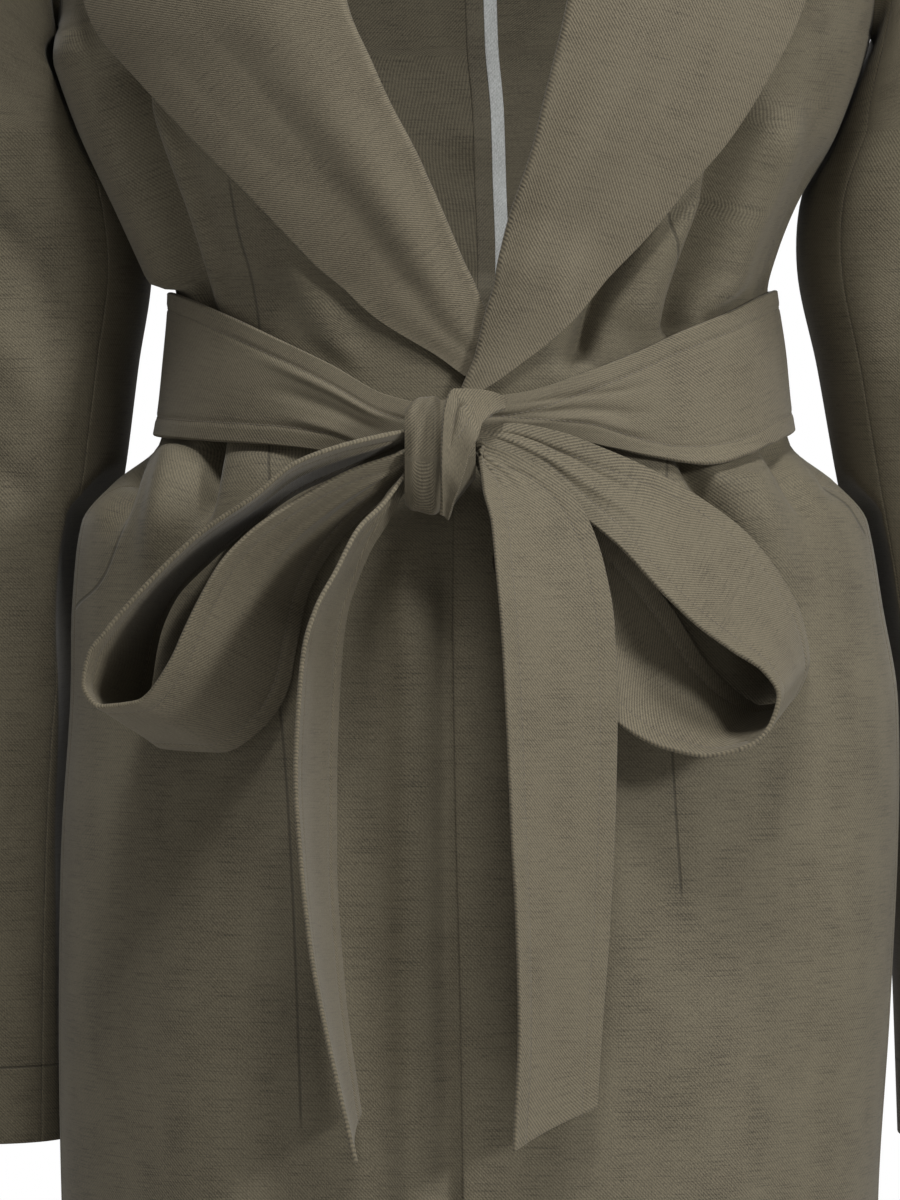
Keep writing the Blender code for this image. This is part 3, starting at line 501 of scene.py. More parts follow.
FRONT_CREASES = [
    # above the sash, wearer's right
    Crease([(-170, -236), (-157, -276), (-138, -318), (-119, -360)], 8, 10, 10.0, 0.15, 0.0),
    Crease([(-150, -250), (-138, -288), (-124, -326), (-112, -364)], 7, 4.0, -13.0, 0.15, 0.0),
    Crease([(-130, -268), (-122, -300), (-111, -334), (-104, -364)], 3.5, 11, 4.5, 0.15, 0.0),
    Crease([(-78, -340), (-66, -358), (-54, -382)], 8, 8, 2.4, 0.2, 0.0),
    # above the sash, wearer's left: draw lines to the knot
    Crease([(74, -318), (62, -338), (50, -360), (43, -380)], 5, 7, -12.0, 0.15, 0.0),
    Crease([(93, -306), (80, -332), (66, -362)], 8, 8, 5.0, 0.25, 0.0),
    Crease([(116, -270), (104, -298), (94, -326), (85, -354), (82, -370)], 7, 5, -13.0, 0.2, 0.0),
    Crease([(133, -268), (122, -298), (108, -330), (98, -362)], 9, 9, 8.0, 0.3, 0.0),
    Crease([(150, -284), (138, -318), (124, -356)], 7, 7, -3.5, 0.3, 0.0),
    # gathers under the sash, wearer's right
    Crease([(-140, -412), (-146, -438), (-152, -462)], 4, 5, -9.0, 0.0, 0.5),
    Crease([(-122, -412), (-128, -444), (-137, -490)], 8, 7, 7.0, 0.0, 0.6),
    Crease([(-107, -412), (-110, -434), (-114, -460)], 4, 4.5, -12.0, 0.0, 0.5),
    Crease([(-88, -420), (-93, -466), (-98, -530)], 11, 12, 3.6, 0.0, 0.6),
    # gathers under the sash, wearer's left
    Crease([(87, -422), (97, -442), (111, -470)], 5, 5, -11.0, 0.0, 0.5),
    Crease([(104, -422), (118, -448), (132, -492)], 8, 8, 5.5, 0.0, 0.6),
    Crease([(120, -416), (129, -434), (142, -458)], 4, 4, -5.0, 0.0, 0.5),
    Crease([(137, -412), (145, -426), (155, -448)], 4, 4, -5.0, 0.0, 0.5),
    # soft pleats of the skirt
    Crease([(-27, -440), (-27, -560), (-26, -700), (-25, -815)], 12, 7, 5.0, 0.15, 0.0),
    Crease([(-13, -440), (-13, -600), (-12, -815)], 6, 5, -4.0, 0.15, 0.0),
    Crease([(-60, -450), (-64, -560), (-66, -700)], 16, 16, 4.0, 0.2, 0.5),
    Crease([(-90, -520), (-88, -640), (-86, -815)], 16, 16, -3.2, 0.3, 0.0),
    Crease([(-118, -560), (-114, -680), (-110, -815)], 22, 22, 3.2, 0.3, 0.0),
    Crease([(40, -470), (46, -600), (50, -815)], 20, 20, 2.4, 0.3, 0.0),
    Crease([(84, -540), (92, -680), (98, -815)], 20, 24, 3.0, 0.3, 0.0),
    Crease([(128, -500), (136, -640), (138, -815)], 20, 20, -2.6, 0.3, 0.0),
]
BACK_CREASES = [
    Crease([(-150, -214), (-118, -280), (-92, -352)], 14, 10, 6.0, 0.3, 0.0),
    Crease([(-118, -226), (-96, -290), (-78, -352)], 7, 9, -5.5, 0.3, 0.0),
    Crease([(150, -220), (122, -286), (96, -352)], 10, 14, 6.0, 0.3, 0.0),
    Crease([(116, -232), (98, -296), (82, -352)], 9, 7, -5.0, 0.3, 0.0),
    Crease([(-44, -262), (-48, -310), (-46, -354)], 9, 9, -3.5, 0.35, 0.0),
    Crease([(56, -252), (54, -306), (50, -354)], 9, 9, -4.0, 0.35, 0.0),
    Crease([(-8, -280), (2, -320), (6, -354)], 12, 12, 2.5, 0.35, 0.0),
    Crease([(-104, -416), (-112, -452), (-122, -520)], 7, 7, 5.0, 0.0, 0.5),
    Crease([(-84, -416), (-88, -446), (-92, -480)], 5, 5, -5.5, 0.0, 0.5),
    Crease([(-50, -416), (-56, -470), (-62, -600)], 10, 10, 3.5, 0.0, 0.5),
    Crease([(-24, -416), (-26, -444), (-28, -480)], 5, 5, -4.0, 0.0, 0.5),
    Crease([(34, -416), (36, -448), (40, -486)], 5, 5, -4.5, 0.0, 0.5),
    Crease([(62, -416), (68, -478), (74, -610)], 10, 10, 4.0, 0.0, 0.5),
    Crease([(92, -416), (98, -446), (104, -484)], 5, 5, -5.0, 0.0, 0.5),
    Crease([(114, -416), (122, -456), (132, -520)], 7, 7, 4.5, 0.0, 0.5),
    Crease([(-84, -560), (-90, -690), (-94, -815)], 22, 22, 3.0, 0.3, 0.0),
    Crease([(86, -570), (90, -690), (96, -815)], 22, 22, 3.0, 0.3, 0.0),
    Crease([(0, -500), (2, -650), (2, -815)], 18, 18, -2.0, 0.3, 0.0),
]
FOLD_FADE = 24.0

Sash = namedtuple("Sash", "angle top foot lift")
LEFT_SASH = [
    Sash(-6, -402, -414, 7.2),
    Sash(6, -398, -416, 7.0),
    Sash(16, -390, -418, 6.0),
    Sash(27, -381, -425, 3.6),
    Sash(38, -372, -429, 3.0),
    Sash(52, -364, -425, 3.2),
    Sash(70, -356, -417, 3.2),
    Sash(90, -353, -414, 2.6),
    Sash(120, -353, -414, 2.6),
    Sash(150, -353, -415, 2.4),
    Sash(180, -353, -415, 2.4),
]
RIGHT_SASH = [
    Sash(-8, -402, -429, 3.4),
    Sash(-14, -398, -428, 3.2),
    Sash(-24, -386, -422, 2.8),
    Sash(-36, -375, -419, 2.4),
    Sash(-50, -365, -418, 2.4),
    Sash(-68, -357, -417, 2.4),
    Sash(-90, -353, -416, 2.6),
    Sash(-120, -353, -415, 2.6),
    Sash(-150, -353, -415, 2.4),
    Sash(-180, -353, -415, 2.4),
]
HOLD_ABOVE, HOLD_BELOW = 9.0, 7.0      # how far from the sash a ridge starts to be pressed flat


def held_by_sash(angle, level):
    """How firmly the sash presses on the cloth: 1 under it, dying away above and below."""
    top, foot = np.zeros(np.shape(angle)), np.zeros(np.shape(angle))
    for table, side in ((LEFT_SASH, angle >= -6), (RIGHT_SASH, angle < -6)):
        angles = [row.angle for row in table]
        top = np.where(side, smooth(angles, [row.top for row in table], angle), top)
        foot = np.where(side, smooth(angles, [row.foot for row in table], angle), foot)
    above = 1 - smoothstep(top + 1, top + 1 + HOLD_ABOVE, level)
    below = smoothstep(foot - 1 - HOLD_BELOW, foot - 1, level)
    return above * below


print("creases:", len(FRONT_CREASES), "in front and", len(BACK_CREASES), "behind")

# %% [markdown]
# ## Seams, darts and pockets
# A pressed seam is only a thin dark line with a slight dip, finer than the mesh. So each point
# of a panel carries its distance to the nearest seam, and the cloth's finish draws the line
# where that distance passes zero. Long waist darts run through both fronts, the side-front
# seams hold the pockets, and the sleeves' hems show as one faint line of stitches.

# %% Seams, darts and pockets
Line = namedtuple("Line", "path width")
FRONT_SEAMS = [
    Line([(-101, -306), (-97, -330), (-91, -352), (-87, -385), (-84, -425), (-81, -500), (-76, -560),
          (-73, -620), (-71, -700)], 0.8),
    Line([(78, -318), (81, -352), (80, -400), (78, -431), (79, -500), (80, -546), (83, -606)], 0.8),
    Line([(-137, -421), (-152, -470), (-166, -486), (-171, -492)], 0.8),
    Line([(136, -424), (152, -440), (164, -458)], 0.7),
]
POCKETS = [
    Line([(-171, -484), (-172.5, -500), (-172, -518)], 2.4),
    Line([(175, -505), (177.5, -518), (180, -534)], 2.0),
]
NEAR_SEAM = 4.0
NO_SEAM = (50.0, 0.0, 0.8)   # what a point says that is far from every seam


def seam_field(x, z, lines):
    """For each place: signed distance to a seam, how near it is, and that seam's width."""
    distance, near, width = (np.full(np.shape(x), value) for value in NO_SEAM)
    for line in lines:
        here, share = nearest(x, z, through(line.path, 26))
        beside = (share > 0.0) & (share < 1.0)
        closer = (np.abs(here) < np.abs(distance)) & (np.abs(here) < 2 * NEAR_SEAM)
        distance = np.where(closer, here, distance)
        fade = smoothstep(0.0, 0.02, share) * (1 - smoothstep(0.98, 1.0, share))
        near = np.where(closer, (np.abs(here) < NEAR_SEAM) * fade * beside, near)
        width = np.where(closer, line.width, width)
    return np.stack([distance, near, width], -1)


# %% [markdown]
# ## From a grid of points to a piece of cloth
# Every piece starts as a grid of points on its inner face, with the grain and the seams noted
# at each. The wall is built outwards from it, and its edges are rounded, as a turned edge is:
# three extra lines of points go in just inside every edge, where the thickness dies away.

# %% From a grid of points to a piece of cloth
CLOTH, TURNED, SASH_WALL, TAPE_WALL = 1.3, 1.9, 2.4, 0.9
BOW_WALL = 1.6              # the bow is pressed flatter than the sash round the waist
LEAST_WALL = 0.6
RIM_LINES = (0.15, 0.5, 1.0)
pieces = {}


def measured(points, across_from=None, along_from=None, grain=0.0):
    """Grain coordinates of a grid: millimetres across and along, turned by the grain's slant."""
    steps = np.linalg.norm(np.diff(points, axis=1), axis=-1)
    across = np.concatenate([np.zeros((len(points), 1)), np.cumsum(steps, axis=1)], axis=1)
    across = across + (across_from if across_from is not None else np.zeros(len(points)))[:, None]
    middle = points[:, points.shape[1] // 2]
    down = np.concatenate([[0.0], np.cumsum(np.linalg.norm(np.diff(middle, axis=0), axis=-1))])
    along = -np.repeat((down if along_from is None else along_from)[:, None], points.shape[1], axis=1)
    turn = math.radians(grain)
    return np.stack([
        across * math.cos(turn) - along * math.sin(turn),
        across * math.sin(turn) + along * math.cos(turn),
    ], -1)


def rimmed(grid, reach, closed):
    """Add lines of points just inside each edge."""
    def both_ends(grid):
        lines = []
        for edge, inner in ((grid[0], grid[1]), (grid[-1], grid[-2])):
            step = np.linalg.norm((inner - edge)[..., :3], axis=-1, keepdims=True)
            span = np.maximum(step, 1.3 * reach)
            lines.append([edge + (inner - edge) * (reach * share / span) for share in RIM_LINES])
        return np.concatenate([grid[:1], lines[0], grid[1:-1], lines[1][::-1], grid[-1:]])

    grid = both_ends(grid)
    if closed:
        return grid
    return both_ends(grid.swapaxes(0, 1)).swapaxes(0, 1)


def rim_share(count, rounded=True):
    """How thick the wall is on each line of points, from 0 at an edge to 1."""
    share = np.ones(count)
    if rounded:
        for i, place in enumerate((0.0,) + RIM_LINES):
            share[i] = share[count - 1 - i] = math.sqrt(1 - (1 - place) ** 2)
    return share


def cloth_piece(name, points, wall, finish, grain_map, seams=None, side=1.0, closed=False,
                relief=None):
    """A closed wall of cloth on a grid of points: rows run down, columns to the viewer's right."""
    if seams is None:
        seams = np.zeros(points.shape[:2] + (3,)) + np.array(NO_SEAM)
    thicker = (np.zeros(points.shape[:2]) if relief is None else relief)[..., None]
    grid = rimmed(np.concatenate([points, grain_map, seams, thicker], axis=-1), wall / 2, closed)
    rows, columns = grid.shape[:2]
    place = grid[..., :3]
    if closed:
        ahead, behind = np.roll(place, -1, axis=1), np.roll(place, 1, axis=1)
        across = ahead - behind
    else:
        across = np.gradient(place, axis=1)
    normal = unit(np.cross(np.gradient(place, axis=0), across))
    share = rim_share(rows)[:, None] * (np.ones(columns) if closed else rim_share(columns))[None, :]
    faces_moved = 1 if side else 2
    thick = np.maximum(LEAST_WALL, wall + faces_moved * grid[..., 8])[..., None]
    middle = place + normal * thick / 2 * side
    half = thick / 2 * share[..., None]
    outer, inner = middle + normal * half, middle - normal * half

    number = np.arange(rows * columns).reshape(rows, columns)
    edge = share < 1e-6
    back_number = np.where(edge, number, rows * columns + np.cumsum(~edge).reshape(rows, columns) - 1)
    ends = np.append(np.arange(columns), 0) if closed else np.arange(columns)
    faces = []
    for index, turned in ((number, False), (back_number, True)):
        index = index[:, ends]
        quads = np.stack([index[:-1, :-1], index[1:, :-1], index[1:, 1:], index[:-1, 1:]], -1)
        quads = quads.reshape(-1, 4)
        faces.append(quads[:, ::-1] if turned else quads)
    corners = np.concatenate([outer.reshape(-1, 3), inner.reshape(-1, 3)[~edge.reshape(-1)]]) * MM
    extra = grid[..., 3:8].reshape(-1, 5)
    extra = np.concatenate([extra, extra[~edge.reshape(-1)]])

    mesh = bpy.data.meshes.new(name)
    mesh.from_pydata(corners.tolist(), [], np.concatenate(faces).tolist())
    grain_layer = mesh.uv_layers.new(name="grain")
    loop_corners = np.empty(len(mesh.loops), dtype=np.int32)
    mesh.loops.foreach_get("vertex_index", loop_corners)
    grain_layer.data.foreach_set("uv", extra[loop_corners, :2].astype(np.float32).ravel())
    seam_layer = mesh.attributes.new("seam", "FLOAT_VECTOR", "POINT")
    seam_layer.data.foreach_set("vector", extra[:, 2:].astype(np.float32).ravel())
    mesh.shade_smooth()
    mesh.materials.append(FINISHES[finish])
    piece = bpy.data.objects.new(name, mesh)
    bpy.context.scene.collection.objects.link(piece)
    pieces[name] = piece
    girths = np.linalg.norm(np.diff(points, axis=1), axis=-1).sum(axis=1).max()
    length = np.linalg.norm(np.diff(points, axis=0), axis=-1).sum(axis=0).max()
    print(f"{name}: {len(mesh.polygons) * 2} triangles, {girths:.0f} x {length:.0f} mm")
    return piece


# %% [markdown]
# ## Where the lapels run
# A lapel is known by two lines: the roll, where it turns back, and its outer edge. The fronts
# need both before they are made, because no fold may push up under a lapel and bend its edge.

# %% Where the lapels run
Station = namedtuple("Station", "roll_x roll_level edge_x edge_level behind")
LEFT_LAPEL = [
    Station(-6, -397, 2, -397, False),
    Station(-3, -388, 15, -388, False),
    Station(2, -368, 35, -370, False),
    Station(7, -350, 51, -352, False),
    Station(12, -328, 69, -332, False),
    Station(19, -308, 86, -311, False),
    Station(26, -282, 107, -285, False),
    Station(31, -262, 120, -263, False),
    Station(36, -239, 131, -238, False),
    Station(41, -208, 139, -207, False),
    Station(49, -165, 144, -163, False),
    Station(59, -110, 146, -108, False),
]
RIGHT_LAPEL = [
    Station(19, -396, -4, -391, False),
    Station(14, -385, -16, -382, False),
    Station(5, -364, -43, -364, False),
    Station(-3, -345, -62, -346, False),
    Station(-12, -325, -80, -327, False),
    Station(-21, -305, -100, -306, False),
    Station(-34, -280, -124, -281, False),
    Station(-44, -258, -144, -258, False),
    Station(-52, -236, -157, -236, False),
    Station(-57, -205, -161, -204, False),
    Station(-63, -165, -160, -163, False),
    Station(-69, -110, -157, -108, False),
]
COLLAR = [                        # wearer's left half; the other is its mirror image
    Station(69, -60, 147, -62, False),
    Station(75, -24, 143, -34, False),
    Station(79.5, 4, 140, -23, False),
    Station(72, 10, 133, -38, True),
    Station(56, 12, 113, -58, True),
    Station(30, 12, 68, -74, True),
    Station(0.01, 12, 0.01, -80, True),
]
mirrored = [s._replace(roll_x=-s.roll_x, edge_x=-s.edge_x) for s in COLLAR]
REACHES = (LEFT_LAPEL + COLLAR[:1], RIGHT_LAPEL + mirrored[:1])


def under_lapel(x, level):
    """1 where a lapel lies on the front, dying away just outside its edge."""
    left, right = (
        smooth([s.edge_level for s in reach], [s.edge_x for s in reach], level)
        for reach in REACHES)
    outside = np.maximum(x - left, right - x)
    lowest = max(reach[0].edge_level for reach in REACHES)
    return np.where(level > lowest, 1 - smoothstep(2.0, 12.0, outside), 0.0)


print("lapels meet", round(-LEFT_LAPEL[0].edge_level), "mm below the neck points")

# %% [markdown]
# ## Fronts and backs
# The wearer's left front lies over the right one, so it stands off the form where they cross.
# Rows are close together at the shoulder and round the waist, where the shape changes fast,
# and the columns are spaced evenly round the body. What shows most is where the sash draws
# the cloth in, so that is where the points are.

# %% Fronts and backs
Bite = namedtuple("Bite", "level front back")
ARMHOLE = [
    Bite(-45, 0, 0), Bite(-52, 9, 8), Bite(-66, 16, 14), Bite(-88, 22, 19), Bite(-114, 25.5, 22),
    Bite(-142, 26.5, 23), Bite(-170, 26, 23), Bite(-196, 23, 21), Bite(-218, 18, 17),
    Bite(-234, 11, 10.5), Bite(-243, 5, 5), Bite(-246, 0, 0),
]
Seam = namedtuple("Seam", "level angle")
SIDE_SEAM = [
    Seam(-246, 90), Seam(-353, 86), Seam(-415, 82), Seam(-480, 79), Seam(-592, 80), Seam(-815, 82),
]
Edge = namedtuple("Edge", "level x")
CENTRE_BACK = [
    Edge(-22, 0), Edge(-120, -4), Edge(-240, -1.6), Edge(-272, 1), Edge(-304, 2), Edge(-335, 3),
    Edge(-815, 0),
]
BACK_NECK = [Edge(0, 78), Edge(-4, 71), Edge(-9, 61), Edge(-15, 46), Edge(-19, 31), Edge(-22, 0.1)]
LEFT_EDGE = [
    Edge(0, 78), Edge(-20, 76), Edge(-50, 70), Edge(-110, 59), Edge(-180, 46), Edge(-239, 36),
    Edge(-282, 26), Edge(-327, 13), Edge(-368, 2), Edge(-398, -6), Edge(-430, -9), Edge(-480, -9),
    Edge(-560, -8), Edge(-650, -6), Edge(-815, -4),
]
RIGHT_EDGE = [
    Edge(0, -78), Edge(-20, -76), Edge(-50, -74), Edge(-110, -69), Edge(-180, -61), Edge(-239, -51),
    Edge(-267, -40), Edge(-309, -19), Edge(-341, -4), Edge(-360, 4), Edge(-398, 20), Edge(-430, 27),
    Edge(-480, 28), Edge(-815, 29),
]
Raise = namedtuple("Raise", "level lift")
WRAP_RAISE = [Raise(-325, 0), Raise(-350, 4.6), Raise(-398, 4.8), Raise(-418, 2.6), Raise(-815, 2.4)]
WRAP_FULL, WRAP_END = 31.0, 52.0
# Spacing of the rows: from one level to the next, and the step between rows
SPANS = [
    (0, -45, 1.6), (-45, -246, 4.0), (-246, -345, 2.4),
    (-345, -415, 3.5), (-415, -520, 2.4), (-520, HEM, 4.4),
]
FRONT_COLUMNS, BACK_COLUMNS = 110, 62
EDGE_TUCK = 1.8             # above the break, a front ends inside the lapel's roll
TUCK_FROM, TUCK_FULL = -402, -390


def panel_levels():
    levels = [0.0]
    for top, foot, step in SPANS:
        count = max(1, round((top - foot) / step))
        levels += list(np.linspace(top, foot, count + 1)[1:])
    return np.array(levels)


LEVELS = panel_levels()
GIRTHS = girth(LEVELS)


def outer_boundary(part):
    """Angle where a panel ends at the shoulder seam, armhole or side seam, at each level."""
    bite = look_up(ARMHOLE, part, LEVELS) * (1 if part == "back" else -1)
    angle = np.where(LEVELS >= SHOULDER_TIP, 90.0, 90.0 + bite)
    return np.where(LEVELS < ARMPIT, look_up(SIDE_SEAM, "angle", LEVELS), angle)


def body_lift(angle, base):
    """Creases at points of the form. They fade at the sides, and ridges under the sash."""
    x, y, z = base[..., 0], base[..., 1], base[..., 2]
    lift = np.where(y < 0, crease_lift(x, z, FRONT_CREASES), crease_lift(x, z, BACK_CREASES))
    turned = np.where(angle > 180, angle - 360, np.where(angle < -180, angle + 360, angle))
    lift = np.where(lift > 0, lift * (1 - held_by_sash(turned, z)), lift)
    lift = np.where((lift > 0) & (y < 0), lift * (1 - under_lapel(x, z)), lift)
    return lift * smoothstep(0, FOLD_FADE, np.abs(y))


def wrap_raise(x, level):
    return look_up(WRAP_RAISE, "lift", level) * (1 - smoothstep(WRAP_FULL, WRAP_END, x))


def panel(name, first, last, columns, raised=None, seams=()):
    """A panel between two boundaries, given as an angle at each level."""
    shares = np.linspace(0, 1, columns)
    angles, starts = [], []
    for far, a, b in zip(GIRTHS, first, last):
        near_far = np.interp([a, b], TURNS, far)
        angles.append(np.interp(near_far[0] + (near_far[1] - near_far[0]) * shares, far, TURNS))
        starts.append(near_far[0])
    angles = np.array(angles)
    levels = np.repeat(LEVELS[:, None], columns, axis=1)
    base = form_point(angles, levels)
    lift = body_lift(angles, base) + (raised(base[..., 0], levels) if raised else 0.0)
    points = base + form_normal(angles, levels) * lift[..., None]
    grain = measured(points, np.array(starts))
    field = seam_field(base[..., 0], base[..., 2], seams) if seams else None
    return cloth_piece(name, points, CLOTH, "cloth", grain, field)


tucked = EDGE_TUCK * smoothstep(TUCK_FROM, TUCK_FULL, LEVELS)
left_edge = angle_at(look_up(LEFT_EDGE, "x", LEVELS) + tucked, LEVELS)
right_edge = angle_at(look_up(RIGHT_EDGE, "x", LEVELS) - tucked, LEVELS)
sides, sewn = outer_boundary("front"), FRONT_SEAMS + POCKETS
panel("left_front_cloth", left_edge, sides, FRONT_COLUMNS, wrap_raise, sewn)
panel("right_front_cloth", -sides, right_edge, FRONT_COLUMNS, None, sewn)

below_neck = LEVELS <= NECK_BACK
centre_x = look_up(CENTRE_BACK, "x", LEVELS)
neck_x = look_up(BACK_NECK, "x", LEVELS)
centre_turn, neck_turn = angle_at(centre_x, LEVELS), angle_at(neck_x, LEVELS)
left_centre = np.where(below_neck, 180 - centre_turn, 180 - neck_turn)
right_centre = np.where(below_neck, -180 - centre_turn, -(180 - neck_turn))
panel("left_back_cloth", outer_boundary("back"), left_centre, BACK_COLUMNS)
panel("right_back_cloth", right_centre, -outer_boundary("back"), BACK_COLUMNS)

# %% [markdown]
# ## Lapels and collar
# A lapel is the front turned back on itself, faced with the same cloth. Each one runs up its
# roll line, past the shoulder, and round the neck as half of the collar. It isn't pressed
# flat at the roll: the cloth turns over in a soft tube. So the grid starts with a half circle
# that comes out of the front, and goes on over the face to a thin pressed edge.

# %% Lapels and collar
COLLAR_STANDOFF = 4.6             # the collar stands clear of the shoulders
LAPEL_GAP = 0.8
LAPEL_ROLL_RISE = 3.2             # soft roll, highest a quarter of the way out
LAPEL_EDGE_RISE = 1.2
LAPEL_BREAK = 0.22
LEFT_SLANT, RIGHT_SLANT = 12.0, -34.0       # of the grain, in degrees
COLLAR_FROM, COLLAR_FULL = 0.35, 0.62
LAPEL_ROWS, LAPEL_COLUMNS, ROLL_COLUMNS = 160, 52, 8
# Soft waves of a lapel: share up the roll line, share across, their two widths and the height
Wave = namedtuple("Wave", "share across long wide height")
LEFT_WAVES = [
    Wave(0.24, 0.20, 0.10, 0.10, 1.4),
    Wave(0.36, 0.62, 0.09, 0.16, -1.2),
    Wave(0.15, 0.66, 0.06, 0.20, 0.8),
]
RIGHT_WAVES = [
    Wave(0.22, 0.24, 0.12, 0.12, 1.6),
    Wave(0.34, 0.60, 0.10, 0.18, -1.4),
    Wave(0.12, 0.60, 0.06, 0.20, 0.9),
]


def lapel_points(stations, share, across, on_top, waves):
    """Points of a lapel's face, with the body form's points and normals under them."""
    keys = range(len(stations))
    at = share * (len(stations) - 1)
    roll_angle = smooth(keys, [float(angle_at(s.roll_x, s.roll_level, s.behind)) for s in stations], at)
    edge_angle = smooth(keys, [float(angle_at(s.edge_x, s.edge_level, s.behind)) for s in stations], at)
    roll_level = smooth(keys, [s.roll_level for s in stations], at)
    edge_level = smooth(keys, [s.edge_level for s in stations], at)
    angle = roll_angle + (edge_angle - roll_angle) * across
    level = roll_level + (edge_level - roll_level) * across
    base, normal = form_point(angle, level), form_normal(angle, level)
    rise = LAPEL_ROLL_RISE * np.sin(math.pi * np.minimum(1.0, across * 2)) ** 2 * (1 - across)
    rise = (rise + LAPEL_EDGE_RISE * across) * smoothstep(0.0, LAPEL_BREAK, share)
    for wave in waves:
        near = ((share - wave.share) / wave.long) ** 2 + ((across - wave.across) / wave.wide) ** 2
        rise = rise + wave.height * np.exp(-near)
    lift = CLOTH + LAPEL_GAP + np.maximum(0.0, rise) + np.maximum(0.0, body_lift(angle, base))
    lift = lift + COLLAR_STANDOFF * smoothstep(COLLAR_FROM, COLLAR_FULL, share)
    if on_top:
        lift = lift + wrap_raise(base[..., 0], level)
    return base + normal * lift[..., None], normal, lift


def lapel(name, stations, on_top, waves):
    """A lapel with its rolled edge, and half of the collar."""
    share = np.repeat(np.linspace(0, 1, LAPEL_ROWS)[:, None], LAPEL_COLUMNS, axis=1)
    roll, normal, lift = (part[:, 0] for part in lapel_points(stations, share, share * 0, on_top, waves))
    edge = lapel_points(stations, share, share * 0 + 1, on_top, waves)[0][:, 0]
    radius = (LAPEL_GAP + COLLAR_STANDOFF * smoothstep(COLLAR_FROM, COLLAR_FULL, share[:, 0])) / 2
    width = np.linalg.norm(edge - roll, axis=-1)
    start = np.minimum(0.45, (radius + TURNED) / np.maximum(width, 1.0))
    across = start[:, None] + (1 - start[:, None]) * np.linspace(0, 1, LAPEL_COLUMNS)[None, :]
    face, normals, _ = lapel_points(stations, share, across, on_top, waves)
    outward = unit(face[:, 1] - face[:, 0])
    turn = np.linspace(math.pi, 0, ROLL_COLUMNS)[:-1]
    centre = face[:, 0] - normals[:, 0] * radius[:, None]
    bend = [
        centre + (normals[:, 0] * math.cos(t) - outward * math.sin(t)) * radius[:, None]
        for t in turn]
    points = np.concatenate([np.stack(bend, axis=1), face], axis=1)
    if stations[0].edge_x > stations[0].roll_x:
        points = points[::-1]
    grain = measured(points, grain=LEFT_SLANT if on_top else RIGHT_SLANT)
    return cloth_piece(name, points, TURNED, "lapel", grain)


lapel("left_lapel_cloth", LEFT_LAPEL + COLLAR, True, LEFT_WAVES)
lapel("right_lapel_cloth", RIGHT_LAPEL + mirrored, False, RIGHT_WAVES)

# %% [markdown]
# ## Inside the neck
# The stand carries the collar, cut in two halves with a seam at the back. Lower down, between
# the lapels, the inside of the back shows, and with it the centre-back seam: both edges
# pressed to one side and bound with a pale tape.

# %% Inside the neck
COLLAR_ROLL, STAND_SLOPE, STAND_GAP, SEAM_GAP = 12.0, 5.0, 1.0, 0.3
ALLOWANCE_WIDTH, ALLOWANCE_TOP, ALLOWANCE_FOOT, TAPE_WIDTH = 12.5, -30.0, -800.0, 6.0
PAST_SEAM = 1.5             # the allowance starts this far beyond the seam, so no light shows
STAND_EASE = 0.05
corner_levels = np.array([row.level for row in BACK_NECK])
corner_angles = 180 - angle_at(np.array([row.x for row in BACK_NECK]), corner_levels)
seam_turn = float(180 - angle_at(SEAM_GAP / 2 + STAND_EASE, 0.0))
down = np.linspace(1, 0, 9)[:, None]
for name, first, last in (
    ("left_stand_cloth", corner_angles[0], seam_turn),
    ("right_stand_cloth", 360 - seam_turn, 360 - corner_angles[0]),
):
    ring_angles = np.linspace(first, last, 61)
    half_ring = np.minimum(ring_angles, 360 - ring_angles)
    ring_feet = np.interp(half_ring, corner_angles, corner_levels) + STAND_GAP
    ring_tops = COLLAR_ROLL - STAND_SLOPE * (1 - smoothstep(100, 150, half_ring))
    stand_levels = ring_feet[None, :] + (ring_tops - ring_feet)[None, :] * down
    stand_points = form_point(ring_angles[None, :] + down * 0, stand_levels)
    cloth_piece(name, stand_points, CLOTH, "inside", measured(stand_points))

strip_levels = LEVELS[(LEVELS <= ALLOWANCE_TOP) & (LEVELS >= ALLOWANCE_FOOT)]
strip_centre = look_up(CENTRE_BACK, "x", strip_levels)


def seam_strip(name, first, last, sunk, wall, finish, columns):
    """A strip inside the back beside its centre seam, between two shares of the allowance."""
    share = np.linspace(last, first, columns)[None, :]
    levels = np.repeat(strip_levels[:, None], columns, axis=1)
    angles = 180 - angle_at(strip_centre[:, None] + ALLOWANCE_WIDTH * share, levels)
    base = form_point(angles, levels)
    lift = body_lift(angles, base) - sunk
    points = base + form_normal(angles, levels) * lift[..., None]
    return cloth_piece(name, points, wall, finish, measured(points), side=-1.0)


seam_strip("seam_allowance", -PAST_SEAM / ALLOWANCE_WIDTH, 1.0, SEAM_GAP, CLOTH, "inside", 9)
tape_from, under_allowance = 1 - TAPE_WIDTH / ALLOWANCE_WIDTH, CLOTH + 2 * SEAM_GAP
seam_strip("seam_binding", tape_from, 1.0, under_allowance, TAPE_WALL, "tape", 7)

# %% [markdown]
# ## Sleeves
# A tailored sleeve has a wide top piece and a narrow one under the arm, so it can bend at the
# elbow. It leaves the armhole almost at a right angle, turns down in a rounded head, and then
# hangs beside the body. The grid starts on the armhole itself and blends into oval rings.

